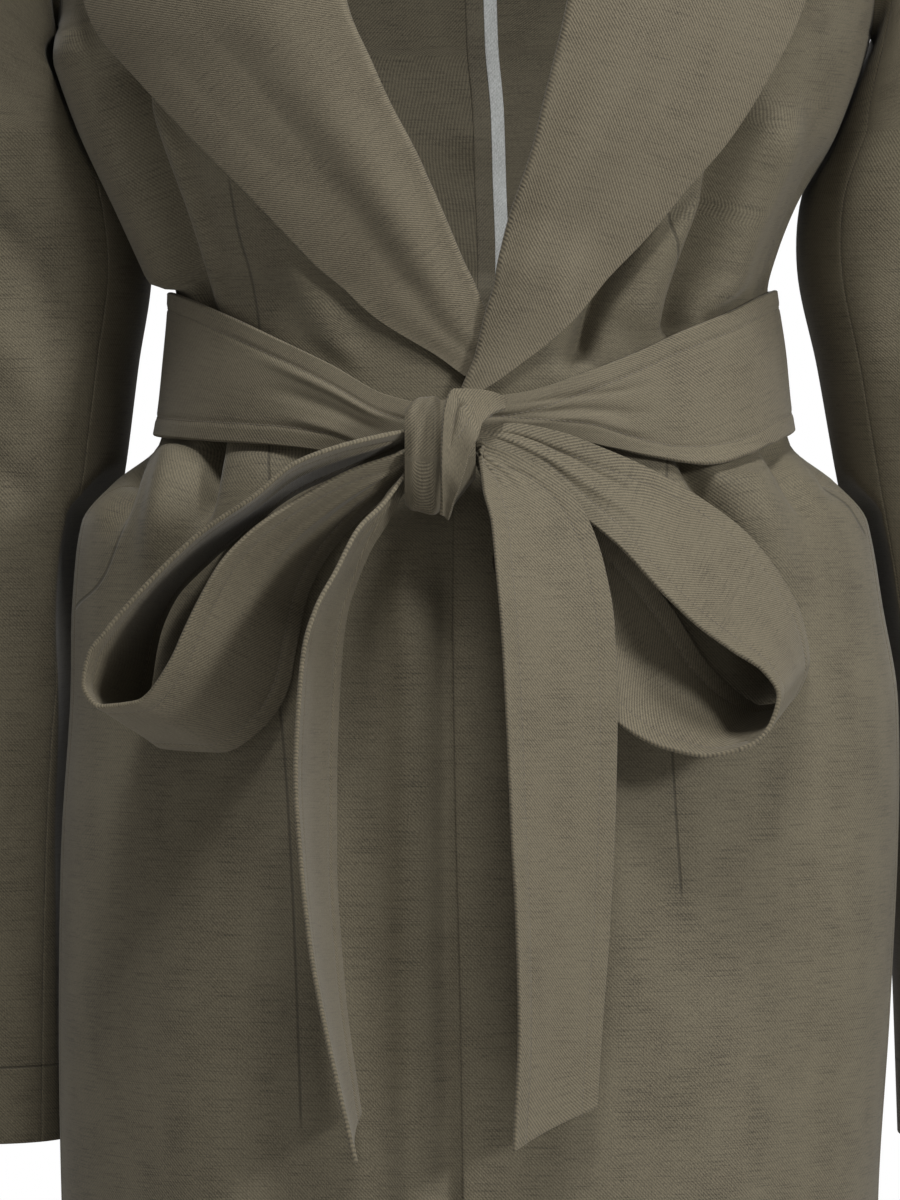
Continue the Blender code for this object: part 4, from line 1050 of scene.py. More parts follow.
# %% Sleeves
Arm = namedtuple("Arm", "level inner outer centre_y half_depth left_swing clearance")
SLEEVE = [
    Arm(-286, 152, 243, 22, 58, -1, 2.5),
    Arm(-316, 142, 241, 26, 57, -2, 3.0),
    Arm(-342, 139, 240, 29, 56, 0, 4.0),
    Arm(-385, 145, 242, 33, 55, 3, 5.0),
    Arm(-423, 150, 246, 37, 54, 5, 7.0),
    Arm(-480, 159, 251, 42, 52, 7, 8.5),
    Arm(-560, 168, 256, 48, 50, 9, 6.5),
    Arm(-640, 171, 259, 52, 48, 11, 5.5),
    Arm(-719, 172, 261, 54, 46, 13, 5.5),
]
ARMHOLE_CORNERS = [-52, -66, -88, -114, -142, -170, -196, -218, -234, -243]
SLEEVE_SEAM_LEVEL = -218.0
CAP_REACH, CAP_LIFT, CAP_DEPTH, CAP_HEIGHT = 0.85, 0.30, 57, 100
ARM_POWER, STEEPEST, ARMHOLE_EASE = 2.2, 0.35, 0.4
SLEEVE_TUCK = 3.0           # millimetres that a sleeve runs on inside the armhole
SLEEVE_HEM = 33.0
CAP_ROWS, ARM_ROWS, TOP_COLUMNS, UNDER_COLUMNS = 30, 100, 84, 36
# Creases of a sleeve: turn in degrees and level along the path, widths in millimetres
SLEEVE_CREASES = [
    Crease([(62, -300), (96, -350), (128, -392)], 8, 10, -3.0, 0.2, 0.3),
    Crease([(40, -330), (80, -376), (118, -420)], 9, 9, 2.4, 0.2, 0.3),
    Crease([(30, -396), (78, -424), (120, -452)], 8, 8, -2.8, 0.2, 0.3),
    Crease([(340, -380), (300, -410), (262, -430)], 10, 10, -2.6, 0.2, 0.3),
    Crease([(350, -440), (310, -462), (270, -474)], 10, 10, 2.4, 0.2, 0.3),
    Crease([(74, -470), (84, -560), (80, -680)], 14, 14, 2.2, 0.2, 0.4),
    Crease([(24, -500), (30, -590), (26, -700)], 16, 16, -1.8, 0.2, 0.4),
    Crease([(300, -520), (306, -600), (300, -700)], 16, 16, 2.0, 0.2, 0.4),
]
TURN_MM = 0.95              # millimetres of sleeve girth for each degree of turn


def sign_of(left):
    return 1.0 if left else -1.0


def clear_of_body(point, left):
    """Move sleeve points out of the body's side and the folds there."""
    x, y, z = point[..., 0], point[..., 1], point[..., 2]
    depth = np.where(y < 0, look_up(FORM, "front", z), look_up(FORM, "back", z))
    power = look_up(FORM, "power", z)
    reach = 1 - (np.abs(y) / depth) ** power
    beside = (z <= ARMPIT) & (reach > 0)
    across = np.maximum(reach, 1e-6) ** (1 / power)
    fore = -signed_power(np.clip(y / depth, -1, 1), power / 2)
    turn = np.degrees(np.arctan2(across ** (power / 2), fore)) * sign_of(left)
    surface, normal = form_point(turn, z), form_normal(turn, z)
    lift = CLOTH + np.maximum(0.0, body_lift(turn, surface)) + look_up(SLEEVE, "clearance", z)
    slope = np.maximum(STEEPEST, np.abs(normal[..., 0]))
    pushed = np.maximum(x, sign_of(left) * surface[..., 0] + lift / slope)
    return np.stack([np.where(beside, pushed, x), y, z], -1)


def arm_points(turn, level, left):
    """Sleeve points; turn runs from the outside over the front to the body side and back."""
    swing = look_up(SLEEVE, "left_swing", level) if left else 0.0
    inner, outer = look_up(SLEEVE, "inner", level) + swing, look_up(SLEEVE, "outer", level) + swing
    centre_y = look_up(SLEEVE, "centre_y", level)
    half_depth = look_up(SLEEVE, "half_depth", level) - CLOTH
    half_width = (outer - inner) / 2 - CLOTH
    x = (inner + outer) / 2 + half_width * signed_power(np.cos(turn), 2 / ARM_POWER)
    y = centre_y - half_depth * signed_power(np.sin(turn), 2 / ARM_POWER)
    return clear_of_body(np.stack([x, y, level + turn * 0], -1), left)


def armhole_path(left):
    """The armhole as a closed path from the shoulder tip, and the turn at each of its points."""
    def corner(level, part):
        bite = look_up(ARMHOLE, part, level) * (1 if part == "back" else -1)
        point = form_point((90.0 + bite) * sign_of(left), level)
        return point * np.array([sign_of(left), 1, 1])

    few = np.array([SHOULDER_TIP] + ARMHOLE_CORNERS)
    ends = np.array([ARMPIT] + ARMHOLE_CORNERS[::-1])
    middle = np.concatenate([corner(few, "front"), corner(ends, "back")]).mean(axis=0)
    fall = SHOULDER_TIP + (ARMPIT - SHOULDER_TIP) * (1 - np.cos(np.linspace(0, math.pi, 240))) / 2
    path = np.concatenate([corner(fall, "front"), corner(fall[::-1], "back")[1:]])
    fore, high = -(path[:, 1] - middle[1]) / CAP_DEPTH, (path[:, 2] - middle[2]) / CAP_HEIGHT
    turn = np.unwrap(np.arctan2(fore, high))
    front_seam = np.interp(-SLEEVE_SEAM_LEVEL, -fall, turn[:240])
    back_seam = np.interp(SLEEVE_SEAM_LEVEL, fall[::-1], turn[239:])
    return path, turn, middle, (front_seam, back_seam)


def sleeve_piece(name, left, under):
    path, path_turn, middle, (front_seam, back_seam) = armhole_path(left)
    if under:
        turn = np.linspace(front_seam, back_seam, UNDER_COLUMNS)
    else:
        turn = np.linspace(back_seam - 2 * math.pi, front_seam, TOP_COLUMNS)
    wrapped = np.where(turn < path_turn[0], turn + 2 * math.pi, turn)
    corner = np.stack([np.interp(wrapped, path_turn, path[:, i]) for i in range(3)], -1)
    inward = unit((middle - corner) * np.array([0, 1, 1]))
    start = corner + inward * (CLOTH + SEAM_GAP + ARMHOLE_EASE)
    end = arm_points(turn, np.full(turn.shape, float(SLEEVE[0].level)), left)
    span = np.linalg.norm(end - start, axis=-1)[:, None]
    leave = np.stack([np.full(turn.shape, CAP_REACH), turn * 0, CAP_LIFT * np.cos(turn)], -1) * span
    arrive = np.array([0, 0, -1.0]) * span
    rows = [start - np.array([SLEEVE_TUCK, 0, 0])]
    for t in np.linspace(0, 1, CAP_ROWS + 1)[:-1]:
        rows.append(clear_of_body(
            start * (2 * t**3 - 3 * t**2 + 1) + leave * (t**3 - 2 * t**2 + t)
            + end * (3 * t**2 - 2 * t**3) + arrive * (t**3 - t**2), left))
    arm_levels = np.linspace(SLEEVE[0].level, SLEEVE[-1].level, ARM_ROWS)
    for level in arm_levels:
        rows.append(arm_points(turn, np.full(turn.shape, level), left))
    points = np.stack(rows)
    degrees = np.degrees(np.mod(turn, 2 * math.pi))[None, :] + points[..., 0] * 0
    creases = [c._replace(path=[(x * TURN_MM, z) for x, z in c.path]) for c in SLEEVE_CREASES]
    lift = crease_lift(degrees * TURN_MM, points[..., 2], creases)
    if under:
        lift = lift * 0
    edge = np.sin(np.linspace(0, math.pi, len(turn)))[None, :]
    normal = unit(np.cross(np.gradient(points, axis=0), np.gradient(points, axis=1)))
    from_middle = points - points.mean(axis=1, keepdims=True)
    outwards = np.sign(np.sum(normal * from_middle, axis=-1, keepdims=True))
    if not under:
        points = points + normal * outwards * (lift * np.minimum(1.0, edge * 3))[..., None]
    hem = [Line([(-600, HEM_LINE), (600, HEM_LINE)], 0.7)]
    if left:
        points = points[:, ::-1]
    else:
        points = points * np.array([-1, 1, 1])
    field = seam_field(points[..., 0], points[..., 2], hem)
    return cloth_piece(name, points, CLOTH, "cloth", measured(points), field)


HEM_LINE = SLEEVE[-1].level + SLEEVE_HEM
for side_name, left in (("left", True), ("right", False)):
    sleeve_piece(f"{side_name}_sleeve_top_cloth", left, False)
    sleeve_piece(f"{side_name}_sleeve_under_cloth", left, True)

# %% [markdown]
# ## The sash
# The sash is a long tube of the same cloth, pressed flat and stitched near both edges, so the
# edge strips stand a little proud of the stitching. It is drawn tight round the waist in two
# lengths, and pulls into long creases towards the knot. Its thickness carries this relief:
# thin along the stitches, full in the strips, with creases that are drawn one by one.

# %% The sash
STITCH_INSET = 8.0
STRIP_RISE, GROOVE, GROOVE_WIDTH = 0.22, 0.38, 1.0
SASH_STATIONS, SASH_ROWS, SASH_PUFF = 160, 54, 1.5
stitch_lines = []


def sash_relief(from_edge, other_edge):
    """Extra thickness at distances from the sash's two edges."""
    relief = np.zeros(np.shape(from_edge))
    for distance in (from_edge, other_edge):
        relief += STRIP_RISE * (1 - smoothstep(STITCH_INSET - 1.6, STITCH_INSET, distance))
        relief -= GROOVE * np.exp(-(((distance - STITCH_INSET) / GROOVE_WIDTH) ** 2))
    return relief


def stitched_along(points, normal, half, column_at):
    """Remember a line of stitches across a grid, at a distance in from one edge."""
    lines = []
    for row, face, thick, at in zip(points, normal, half, column_at):
        before = int(np.clip(at, 0, len(row) - 2))
        beyond = float(np.clip(at - before, 0.0, 1.0))
        on_face = row + face * thick[:, None]
        lines.append(on_face[before] * (1 - beyond) + on_face[before + 1] * beyond)
    stitch_lines.append(np.array(lines))


# Creases of the sash: share from the knot to the back, share from the top to the foot
LEFT_SASH_CREASES = [
    Crease([(0.10, 0.20), (0.22, 0.34), (0.34, 0.30)], 0.035, 0.05, -0.9, 0.3, 0.3),
    Crease([(0.09, 0.42), (0.20, 0.52), (0.33, 0.62)], 0.05, 0.05, -1.0, 0.3, 0.3),
    Crease([(0.10, 0.60), (0.20, 0.66), (0.30, 0.80)], 0.05, 0.05, 0.8, 0.3, 0.3),
]
RIGHT_SASH_CREASES = [
    Crease([(0.06, 0.30), (0.18, 0.30), (0.40, 0.22)], 0.05, 0.05, 1.2, 0.3, 0.4),
    Crease([(0.07, 0.52), (0.20, 0.50), (0.38, 0.46)], 0.08, 0.08, -1.2, 0.3, 0.4),
    Crease([(0.08, 0.74), (0.20, 0.72), (0.34, 0.70)], 0.05, 0.06, 1.0, 0.3, 0.4),
]


def waist_sash(name, table, creases, to_left):
    share = np.linspace(0, 1, SASH_STATIONS)[None, :]
    across = np.linspace(0, 1, SASH_ROWS)[:, None]
    angle = down_rows(table, "angle", share) + across * 0
    top, foot = down_rows(table, "top", share), down_rows(table, "foot", share)
    level = top + (foot - top) * across
    lift = down_rows(table, "lift", share) + SASH_PUFF * np.sin(math.pi * across)
    points = form_point(angle, level) + form_normal(angle, level) * lift[..., None]
    width = (top - foot) + across * 0
    relief = sash_relief(width * across, width * (1 - across))
    relief = relief + crease_lift(share + across * 0, across + share * 0, creases)
    if not to_left:
        points, relief, width = points[:, ::-1], relief[:, ::-1], width[:, ::-1]
    normal = unit(np.cross(np.gradient(points, axis=0), np.gradient(points, axis=1)))
    half = np.full(relief.shape, SASH_WALL) + relief
    for from_top in (True, False):
        inset = STITCH_INSET / width[0] * (SASH_ROWS - 1)
        rows = inset if from_top else SASH_ROWS - 1 - inset
        stitched_along(points.swapaxes(0, 1), normal.swapaxes(0, 1), half.swapaxes(0, 1), rows)
    return cloth_piece(name, points, SASH_WALL, "sash", measured(points), relief=relief)


waist_sash("left_waist_sash", LEFT_SASH, LEFT_SASH_CREASES, True)
waist_sash("right_waist_sash", RIGHT_SASH, RIGHT_SASH_CREASES, False)

# %% [markdown]
# ## The bow
# Two loops, two ends and a knot, all of the same sash. Each is a ribbon that is swept between
# a near edge and a far edge, which a few measured stations give. The loops are open, as on the
# real bow, and the ends hang in front of the skirt.

# %% The bow
Pair = namedtuple("Pair", "near_x near_y near_z far_x far_y far_z")
LOOP_RIGHT = [
    Pair(-30, -136, -413, -30, -121, -420),
    Pair(-39, -146, -415, -39, -117, -424),
    Pair(-55, -154, -419, -55, -114, -430),
    Pair(-73, -159, -426, -73, -108, -438),
    Pair(-89, -158, -439, -90, -102, -450),
    Pair(-111, -152, -454, -110, -97, -467),
    Pair(-133, -146, -475, -124, -92, -482),
    Pair(-149, -142, -493, -131, -88, -499),
    Pair(-157, -140, -504, -134, -87, -517),
    Pair(-159, -139, -515, -136, -87, -529),
    Pair(-152, -139, -524, -129, -93, -543),
    Pair(-137, -144, -522, -104, -108, -544),
    Pair(-123, -152, -505, -81, -116, -527),
    Pair(-117, -154, -492, -76, -117, -516),
    Pair(-110, -155, -478, -73, -118, -500),
    Pair(-102, -156, -465, -69, -117, -481),
    Pair(-89, -156, -452, -62, -117, -466),
    Pair(-71, -151, -440, -49, -118, -450),
    Pair(-51, -143, -429, -38, -122, -440),
    Pair(-31, -135, -422, -31, -126, -431),
]
LOOP_LEFT = [
    Pair(2, -130, -417, 4, -121, -411),
    Pair(12, -126, -423, 16, -120, -410),
    Pair(26, -125, -433, 33, -119, -413),
    Pair(41, -127, -446, 52, -117, -420),
    Pair(57, -137, -459, 70, -113, -428),
    Pair(74, -150, -477, 91, -105, -440),
    Pair(90, -148, -492, 111, -97, -455),
    Pair(104, -144, -502, 126, -92, -474),
    Pair(116, -142, -510, 134, -90, -490),
    Pair(122, -143, -520, 137, -90, -507),
    Pair(119, -144, -531, 134, -92, -517),
    Pair(110, -146, -540, 128, -96, -524),
    Pair(93, -146, -544, 118, -100, -526),
    Pair(76, -143, -541, 107, -106, -520),
    Pair(57, -138, -531, 94, -110, -507),
    Pair(42, -132, -514, 80, -114, -485),
    Pair(28, -128, -490, 65, -117, -466),
    Pair(16, -127, -465, 47, -118, -449),
    Pair(8, -127, -445, 28, -120, -433),
    Pair(2, -129, -430, 5, -122, -424),
]
TAIL_LEFT = [
    Pair(2, -140, -426, 5, -135, -418),
    Pair(3, -146, -437, 29, -131, -429),
    Pair(6, -154, -449, 44, -133, -446),
    Pair(8, -163, -469, 52, -137, -468),
    Pair(10, -169, -492, 56, -141, -493),
    Pair(12, -173, -528, 57, -143, -530),
    Pair(14, -173, -573, 56, -141, -575),
    Pair(16, -172, -612, 54, -139, -615),
    Pair(17, -171, -652, 51, -138, -656),
    Pair(15, -170, -701, 49, -138, -687),
]
TAIL_RIGHT = [
    Pair(-31, -134, -434, -31, -124, -441),
    Pair(-37, -142, -442, -36, -123, -450),
    Pair(-47, -152, -452, -43, -121, -461),
    Pair(-56, -164, -469, -49, -119, -475),
    Pair(-64, -171, -484, -53, -119, -488),
    Pair(-69, -175, -502, -55, -121, -505),
    Pair(-72, -178, -550, -57, -125, -554),
    Pair(-70, -178, -584, -57, -128, -588),
    Pair(-66, -178, -620, -55, -130, -624),
    Pair(-60, -178, -652, -52, -131, -655),
    Pair(-54, -178, -679, -49, -132, -676),
    Pair(-48, -176, -705, -47, -132, -690),
]
KNOT_BAND = [
    Pair(13, -120, -400, 12, -123, -404),
    Pair(6, -126, -397, 7, -133, -406),
    Pair(-2, -133, -396, 2, -142, -411),
    Pair(-9, -140, -396, 1, -147, -415),
    Pair(-13, -146, -405, -2, -149, -421),
    Pair(-14, -149, -423, -6, -148, -434),
    Pair(-14, -146, -436, -9, -144, -442),
    Pair(-14, -141, -447, -11, -138, -449),
]
LOOP_STATIONS, TAIL_STATIONS, RIBBON_COLUMNS = 220, 200, 44
# Creases of a ribbon: share of the way along and share across from the near edge
LOOP_RIGHT_CREASES = [
    Crease([(0.06, 0.30), (0.16, 0.42), (0.30, 0.40)], 0.04, 0.05, 0.9, 0.3, 0.4),
    Crease([(0.70, 0.40), (0.84, 0.46), (0.98, 0.50)], 0.05, 0.05, -1.1, 0.4, 0.0),
    Crease([(0.78, 0.66), (0.88, 0.62), (0.98, 0.60)], 0.04, 0.05, 0.8, 0.4, 0.0),
]
LOOP_LEFT_CREASES = [
    Crease([(0.02, 0.50), (0.14, 0.44), (0.32, 0.34)], 0.05, 0.05, 1.1, 0.2, 0.4),
    Crease([(0.05, 0.72), (0.16, 0.66), (0.28, 0.60)], 0.04, 0.05, -0.9, 0.3, 0.4),
    Crease([(0.74, 0.48), (0.86, 0.50), (0.98, 0.50)], 0.05, 0.05, -1.0, 0.4, 0.0),
]
TAIL_CREASES = [
    Crease([(0.04, 0.46), (0.16, 0.54), (0.32, 0.50)], 0.06, 0.05, 0.9, 0.3, 0.5),
    Crease([(0.06, 0.24), (0.16, 0.30), (0.28, 0.34)], 0.04, 0.05, -0.8, 0.3, 0.5),
]


def run_on(pairs, start, end):
    """The same stations with each edge run straight on past them, by lengths in millimetres."""
    rows = np.array(pairs, float).reshape(-1, 2, 3)
    first = rows[0] - unit(rows[1] - rows[0]) * start
    last = rows[-1] + unit(rows[-1] - rows[-2]) * end
    added = ([first] if start else []) + list(rows) + ([last] if end else [])
    return [Pair(*row.ravel()) for row in added]


def ribbon(name, pairs, stations, crown, creases, both_faces=False, columns=RIBBON_COLUMNS):
    """A stitched ribbon between its two edges, crowned across by a small rise."""
    share = np.linspace(0, 1, stations)
    edges = np.stack([down_rows(pairs, column, share) for column in Pair._fields], -1)
    near, far = edges[:, None, :3], edges[:, None, 3:]
    across = np.linspace(0, 1, columns)[None, :, None]
    points = near + (far - near) * across
    face = unit(np.cross(np.gradient(points, axis=0), far - near))
    points = points + face * crown * np.sin(math.pi * across)
    width = np.linalg.norm(far - near, axis=-1)
    share_across = across[..., 0] + share[:, None] * 0
    fits = smoothstep(2.2 * STITCH_INSET, 3.0 * STITCH_INSET, width)
    relief = sash_relief(width * share_across, width * (1 - share_across)) * fits
    bend = crease_lift(share[:, None] + share_across * 0, share_across, creases)
    points = points + face * bend[..., None]
    half = BOW_WALL / 2 + relief
    wide = width[:, 0] > 2.4 * STITCH_INSET
    for from_near in (True, False):
        inset = STITCH_INSET / np.maximum(width[:, 0], 1) * (columns - 1)
        column = inset if from_near else columns - 1 - inset
        stitched_along(points[wide], face[wide] + 0 * points[wide], half[wide], column[wide])
        if both_faces:
            stitched_along(points[wide], -face[wide] + 0 * points[wide], half[wide], column[wide])
    return cloth_piece(name, points, BOW_WALL, "sash", measured(points), side=0.0, relief=relief)


INTO_KNOT = 6.0
for side_name, loop, loop_creases, tail, crown in (
    ("left", LOOP_LEFT, LOOP_LEFT_CREASES, TAIL_LEFT, -2.5),
    ("right", LOOP_RIGHT, LOOP_RIGHT_CREASES, TAIL_RIGHT, -2.0),
):
    loop, tail = run_on(loop, INTO_KNOT, INTO_KNOT), run_on(tail, INTO_KNOT, 0.0)
    ribbon(f"{side_name}_loop", loop, LOOP_STATIONS, 0.0, loop_creases, True)
    ribbon(f"{side_name}_tail", tail, TAIL_STATIONS, crown, TAIL_CREASES)
KNOT_DIMPLE = [Crease([(0.34, 0.30), (0.52, 0.34), (0.66, 0.40)], 0.10, 0.05, -1.9, 0.3, 0.3)]
ribbon("knot_over", KNOT_BAND, 90, -1.0, KNOT_DIMPLE)

# %% [markdown]
# ## The knot
# Where the ribbons cross, one turn of sash is wound tightly round them. It is a flattened tube
# that is drawn in where the next turn presses on it, which makes the dark groove in its face.

# %% The knot
Wind = namedtuple("Wind", "x half_height half_depth")
KNOT = [
    Wind(-29, 19, 9),
    Wind(-25, 22.5, 11.5),
    Wind(-17, 24, 12.5),
    Wind(-8, 22.5, 12.5),
    Wind(-3, 19.5, 11.5),
    Wind(0, 16, 9.5),
]
KNOT_Y, KNOT_Z, KNOT_POWER = -129.5, -423.0, 2.5
KNOT_ROWS, KNOT_COLUMNS = 70, 110
KNOT_GROOVE_X, KNOT_GROOVE_WIDTH, KNOT_GROOVE = -14.0, 1.6, 1.6
KNOT_DRAWN_IN = 0.42
place = np.linspace(0, 1, KNOT_ROWS)[:, None]
knot_x, half_height, half_depth = (down_rows(KNOT, column, place) for column in Wind._fields)
pulled = KNOT_GROOVE * np.exp(-(((knot_x - KNOT_GROOVE_X) / KNOT_GROOVE_WIDTH) ** 2))
turn = np.linspace(0, 2 * math.pi, KNOT_COLUMNS + 1)[None, :-1]
ruffle = 0.35 * np.sin(turn * 3 + knot_x * 0.45) + 0.25 * np.sin(turn * 5 - knot_x * 0.8)
squeeze = pulled - ruffle
drawn_in = np.where(np.sin(turn) < 0, 1 - KNOT_DRAWN_IN * smoothstep(-13.0, 0.0, knot_x), 1.0)
knot_points = np.stack([
    knot_x + turn * 0,
    KNOT_Y - (half_depth - squeeze) * signed_power(np.cos(turn), 2 / KNOT_POWER),
    KNOT_Z + (half_height - squeeze) * signed_power(np.sin(turn), 2 / KNOT_POWER) * drawn_in,
], -1)
cloth_piece("knot_turn", knot_points, SASH_WALL, "sash", measured(knot_points), side=-1.0, closed=True)

# %% [markdown]
# ## Stitches
# Every edge of the sash is sewn with a line of short stitches. They all repeat one shape along
# a path, so Geometry Nodes sets them out: each path is walked in equal steps, and a small
# capsule is laid on every step, turned to point along it.

# %% Stitches
STITCH_PITCH, STITCH_LENGTH, STITCH_THICK = 2.5, 1.9, 0.42
thread = Finish("sewing_thread")
thread_grain = thread.node("ShaderNodeTexCoord", None, None, output=3)
fleck_inputs = {"Vector": thread_grain, "Scale": 2600.0, "Detail": 2.0}
thread_fleck = thread.node("ShaderNodeTexNoise", None, fleck_inputs)
thread.set(
    base_color=thread.mix(thread_fleck, (0.085, 0.072, 0.054, 1.0), (0.17, 0.148, 0.115, 1.0)),
    roughness=thread_fleck * 0.1 + 0.55,
)

stitch_tree = bpy.data.node_groups.new("stitches_along_paths", "GeometryNodeTree")
stitch_tree.is_modifier = True
stitch_tree.interface.new_socket("Paths", in_out="INPUT", socket_type="NodeSocketGeometry")
sizes = {}
for label, value in (("Pitch", STITCH_PITCH), ("Length", STITCH_LENGTH), ("Thickness", STITCH_THICK)):
    socket = stitch_tree.interface.new_socket(label, in_out="INPUT", socket_type="NodeSocketFloat")
    sizes[socket.identifier] = value * MM
stitch_tree.interface.new_socket("Stitches", in_out="OUTPUT", socket_type="NodeSocketGeometry")


def add(kind, **settings):
    made = stitch_tree.nodes.new(kind)
    for name, value in settings.items():
        setattr(made, name, value)
    return made


link = stitch_tree.links.new
paths_in, stitches_out = add("NodeGroupInput"), add("NodeGroupOutput")
as_curve = add("GeometryNodeMeshToCurve")
steps = add("GeometryNodeResampleCurve", mode="LENGTH")
tangent = add("GeometryNodeInputTangent")
aim = add("FunctionNodeAlignRotationToVector", axis="Z")
capsule = add("GeometryNodeMeshUVSphere")
capsule.inputs["Segments"].default_value = 5
capsule.inputs["Rings"].default_value = 3
capsule.inputs["Radius"].default_value = 0.5
size = add("ShaderNodeCombineXYZ")
lay = add("GeometryNodeInstanceOnPoints")
solid = add("GeometryNodeRealizeInstances")
finish_node = add("GeometryNodeSetMaterial")
finish_node.inputs["Material"].default_value = thread.material
link(paths_in.outputs["Paths"], as_curve.inputs["Mesh"])
link(as_curve.outputs["Curve"], steps.inputs["Curve"])
link(paths_in.outputs["Pitch"], steps.inputs["Length"])
link(steps.outputs["Curve"], lay.inputs["Points"])
link(capsule.outputs["Mesh"], lay.inputs["Instance"])
link(tangent.outputs["Tangent"], aim.inputs["Vector"])
link(aim.outputs["Rotation"], lay.inputs["Rotation"])
link(paths_in.outputs["Thickness"], size.inputs["X"])
link(paths_in.outputs["Thickness"], size.inputs["Y"])
link(paths_in.outputs["Length"], size.inputs["Z"])
link(size.outputs["Vector"], lay.inputs["Scale"])
link(lay.outputs["Instances"], solid.inputs["Geometry"])
link(solid.outputs["Geometry"], finish_node.inputs["Geometry"])
link(finish_node.outputs["Geometry"], stitches_out.inputs["Stitches"])

corners, edges = [], []
for line in stitch_lines:
    if len(line) > 1:
        edges += [(len(corners) + i, len(corners) + i + 1) for i in range(len(line) - 1)]
        corners += [tuple(point * MM) for point in line]
path_mesh = bpy.data.meshes.new("stitch_paths")
path_mesh.from_pydata(corners, edges, [])
paths = bpy.data.objects.new("stitch_paths", path_mesh)
bpy.context.scene.collection.objects.link(paths)
sewing = paths.modifiers.new("sewing", "NODES")
sewing.node_group = stitch_tree
for identifier, value in sizes.items():
    sewing[identifier] = value
depsgraph = bpy.context.evaluated_depsgraph_get()
sewn_mesh = bpy.data.meshes.new_from_object(paths.evaluated_get(depsgraph), depsgraph=depsgraph)
sewn_mesh.shade_smooth()
stitches = bpy.data.objects.new("sash_stitches", sewn_mesh)
bpy.context.scene.collection.objects.link(stitches)
bpy.data.objects.remove(paths, do_unlink=True)
print("stitches:", len(sewn_mesh.polygons), "faces on", len(stitch_lines), "lines")

# %% [markdown]
# ## The button
# One small dark button closes the fronts under the bow. It is almost hidden by the end of the
# sash. The solid has its true shape, so it stays, and gets the cloudy look of polished horn.

# %% The button
horn = Finish("dark_horn")
horn_place = horn.node("ShaderNodeTexCoord", None, None, output=3)
cloud = horn.node("ShaderNodeTexNoise", None, {"Vector": horn_place, "Scale": 190.0, "Detail": 3.0})
horn.set(
    base_color=horn.mix(cloud, (0.010, 0.008, 0.006, 1.0), (0.045, 0.033, 0.024, 1.0)),
    roughness=cloud * 0.12 + 0.24,
)
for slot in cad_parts["front_button"].material_slots:
    slot.material = horn.material

# %% [markdown]
# ## Roles and cuts
# Every piece says which solid it stands for, which finish slot it takes, and how its cloth
# was cut. Nothing moves, so everything rides on the one body.

# %% Roles and cuts
Role = namedtuple("Role", "piece node slot held")
ROLES = [
    Role("left_front_cloth", "front_left", "cloth", "draped"),
    Role("right_front_cloth", "front_right", "cloth", "draped"),
    Role("left_back_cloth", "back_left", "cloth", "draped"),
    Role("right_back_cloth", "back_right", "cloth", "draped"),
    Role("left_lapel_cloth", "lapel_left", "lapel", "folded"),
    Role("right_lapel_cloth", "lapel_right", "lapel", "folded"),
    Role("left_stand_cloth", "collar_stand_left", "inside", "folded"),
    Role("right_stand_cloth", "collar_stand_right", "inside", "folded"),
    Role("seam_allowance", "back_allowance", "inside", "folded"),
    Role("seam_binding", "back_binding", "tape", "folded"),
    Role("left_sleeve_top_cloth", "sleeve_left_top", "cloth", "hung"),
    Role("left_sleeve_under_cloth", "sleeve_left_under", "cloth", "hung"),
    Role("right_sleeve_top_cloth", "sleeve_right_top", "cloth", "hung"),
    Role("right_sleeve_under_cloth", "sleeve_right_under", "cloth", "hung"),
    Role("left_waist_sash", "belt_left", "sash", "folded"),
    Role("right_waist_sash", "belt_right", "sash", "folded"),
    Role("left_loop", "loop_left", "sash", "folded"),
    Role("right_loop", "loop_right", "sash", "folded"),
    Role("left_tail", "tail_left", "sash", "hung"),
    Role("right_tail", "tail_right", "sash", "hung"),
    Role("knot_over", "knot_band", "sash", "folded"),
    Role("knot_turn", "knot_wrap", "sash", "folded"),
]
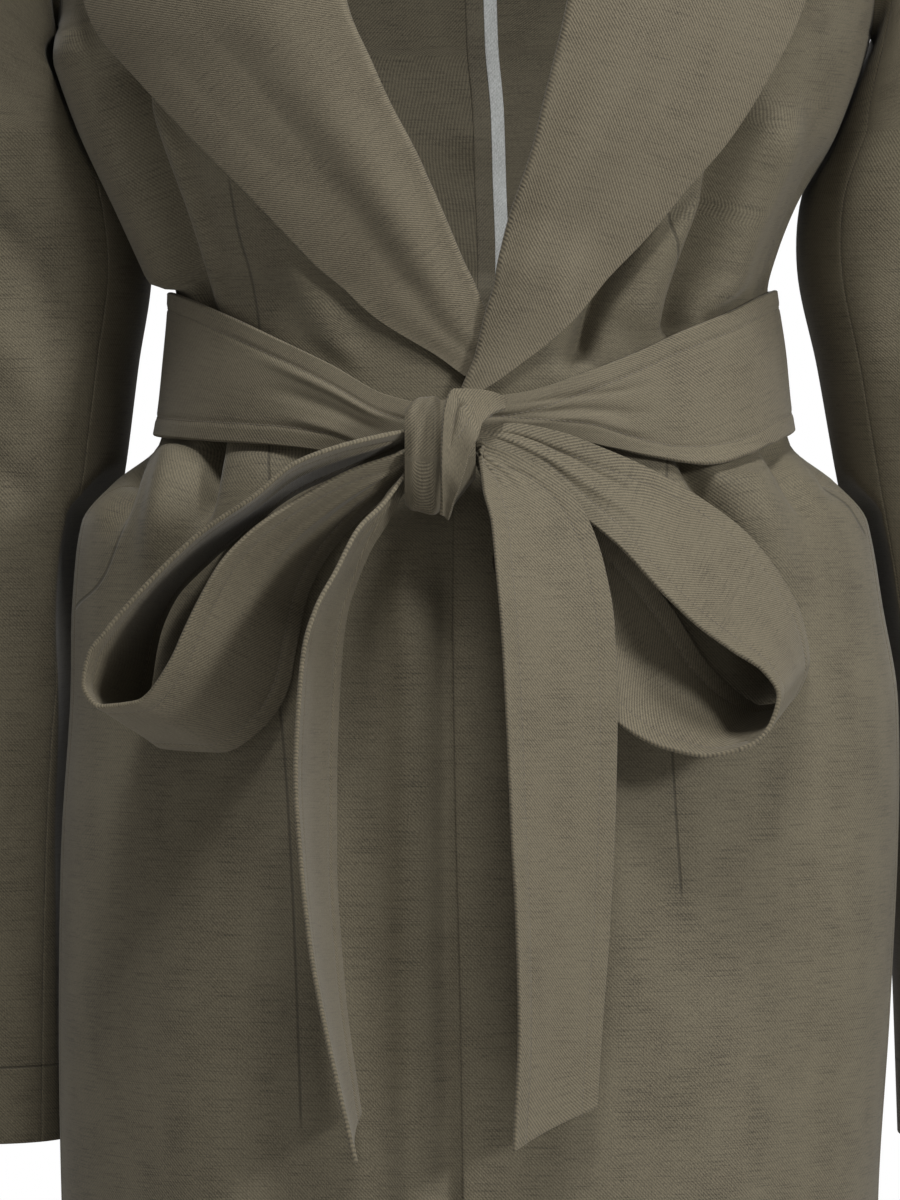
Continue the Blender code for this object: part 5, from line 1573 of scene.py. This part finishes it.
# The flat size of each piece, in millimetres, and the share of that rectangle it fills. They
# come from the tables above, not from the finished meshes: the form without its creases, laid
# out flat. They are net sizes, because no seam or hem allowance is made here, apart from the
# one at the centre back, which is a piece of its own. The sash is given as one straight strip
# at its finished width, which the knot gathers. Inside the knot it is folded narrower, and
# only the outer fold is made. The tape is 6 mm wide, and fills 0.6 of the least width allowed.
# The seam allowance is cut 12.5 mm wide, but its piece here is wider by PAST_SEAM.
Cut = namedtuple("Cut", "width length fill rests_on")
CUTS = {
    "left_front_cloth": Cut(253, 887, 0.70, ["right_front_cloth"]),
    "right_front_cloth": Cut(272, 882, 0.68, []),
    "left_back_cloth": Cut(269, 898, 0.80, []),
    "right_back_cloth": Cut(269, 897, 0.80, []),
    "left_lapel_cloth": Cut(118, 635, 0.66, ["left_front_cloth"]),
    "right_lapel_cloth": Cut(124, 646, 0.66, ["right_front_cloth"]),
    "left_stand_cloth": Cut(110, 36, 0.62, ["left_back_cloth"]),
    "right_stand_cloth": Cut(110, 36, 0.62, ["right_back_cloth"]),
    "seam_allowance": Cut(12.5, 783, 1.0, ["left_back_cloth"]),
    "seam_binding": Cut(10, 783, 0.6, ["seam_allowance"]),
    "left_sleeve_top_cloth": Cut(247, 709, 0.85, []),
    "left_sleeve_under_cloth": Cut(95, 517, 0.87, []),
    "right_sleeve_top_cloth": Cut(247, 709, 0.85, []),
    "right_sleeve_under_cloth": Cut(95, 517, 0.87, []),
    "left_waist_sash": Cut(62, 382, 1.0, ["left_front_cloth", "left_back_cloth"]),
    "right_waist_sash": Cut(62, 342, 1.0, ["right_front_cloth", "right_back_cloth"]),
    "left_loop": Cut(62, 357, 1.0, ["knot_turn"]),
    "right_loop": Cut(62, 352, 1.0, ["knot_turn"]),
    "left_tail": Cut(62, 284, 1.0, ["knot_turn"]),
    "right_tail": Cut(62, 272, 1.0, ["knot_turn"]),
    "knot_over": Cut(23, 75, 0.60, ["knot_turn"]),
    "knot_turn": Cut(29, 122, 0.87, ["left_waist_sash"]),
}
for role in ROLES:
    piece = pieces[role.piece]
    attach(piece, "root")
    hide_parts(role.node)
    area = sum(face.area for face in piece.data.polygons) / 2
    cut = CUTS[role.piece]
    flat = (cut.width * MM, cut.length * MM)
    cut_area = cut.fill * flat[0] * flat[1]
    print(f"{role.piece}: {area * 1e4:.0f} cm2 a side, {area / cut_area:.2f} of its cut")
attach(stitches, "root")
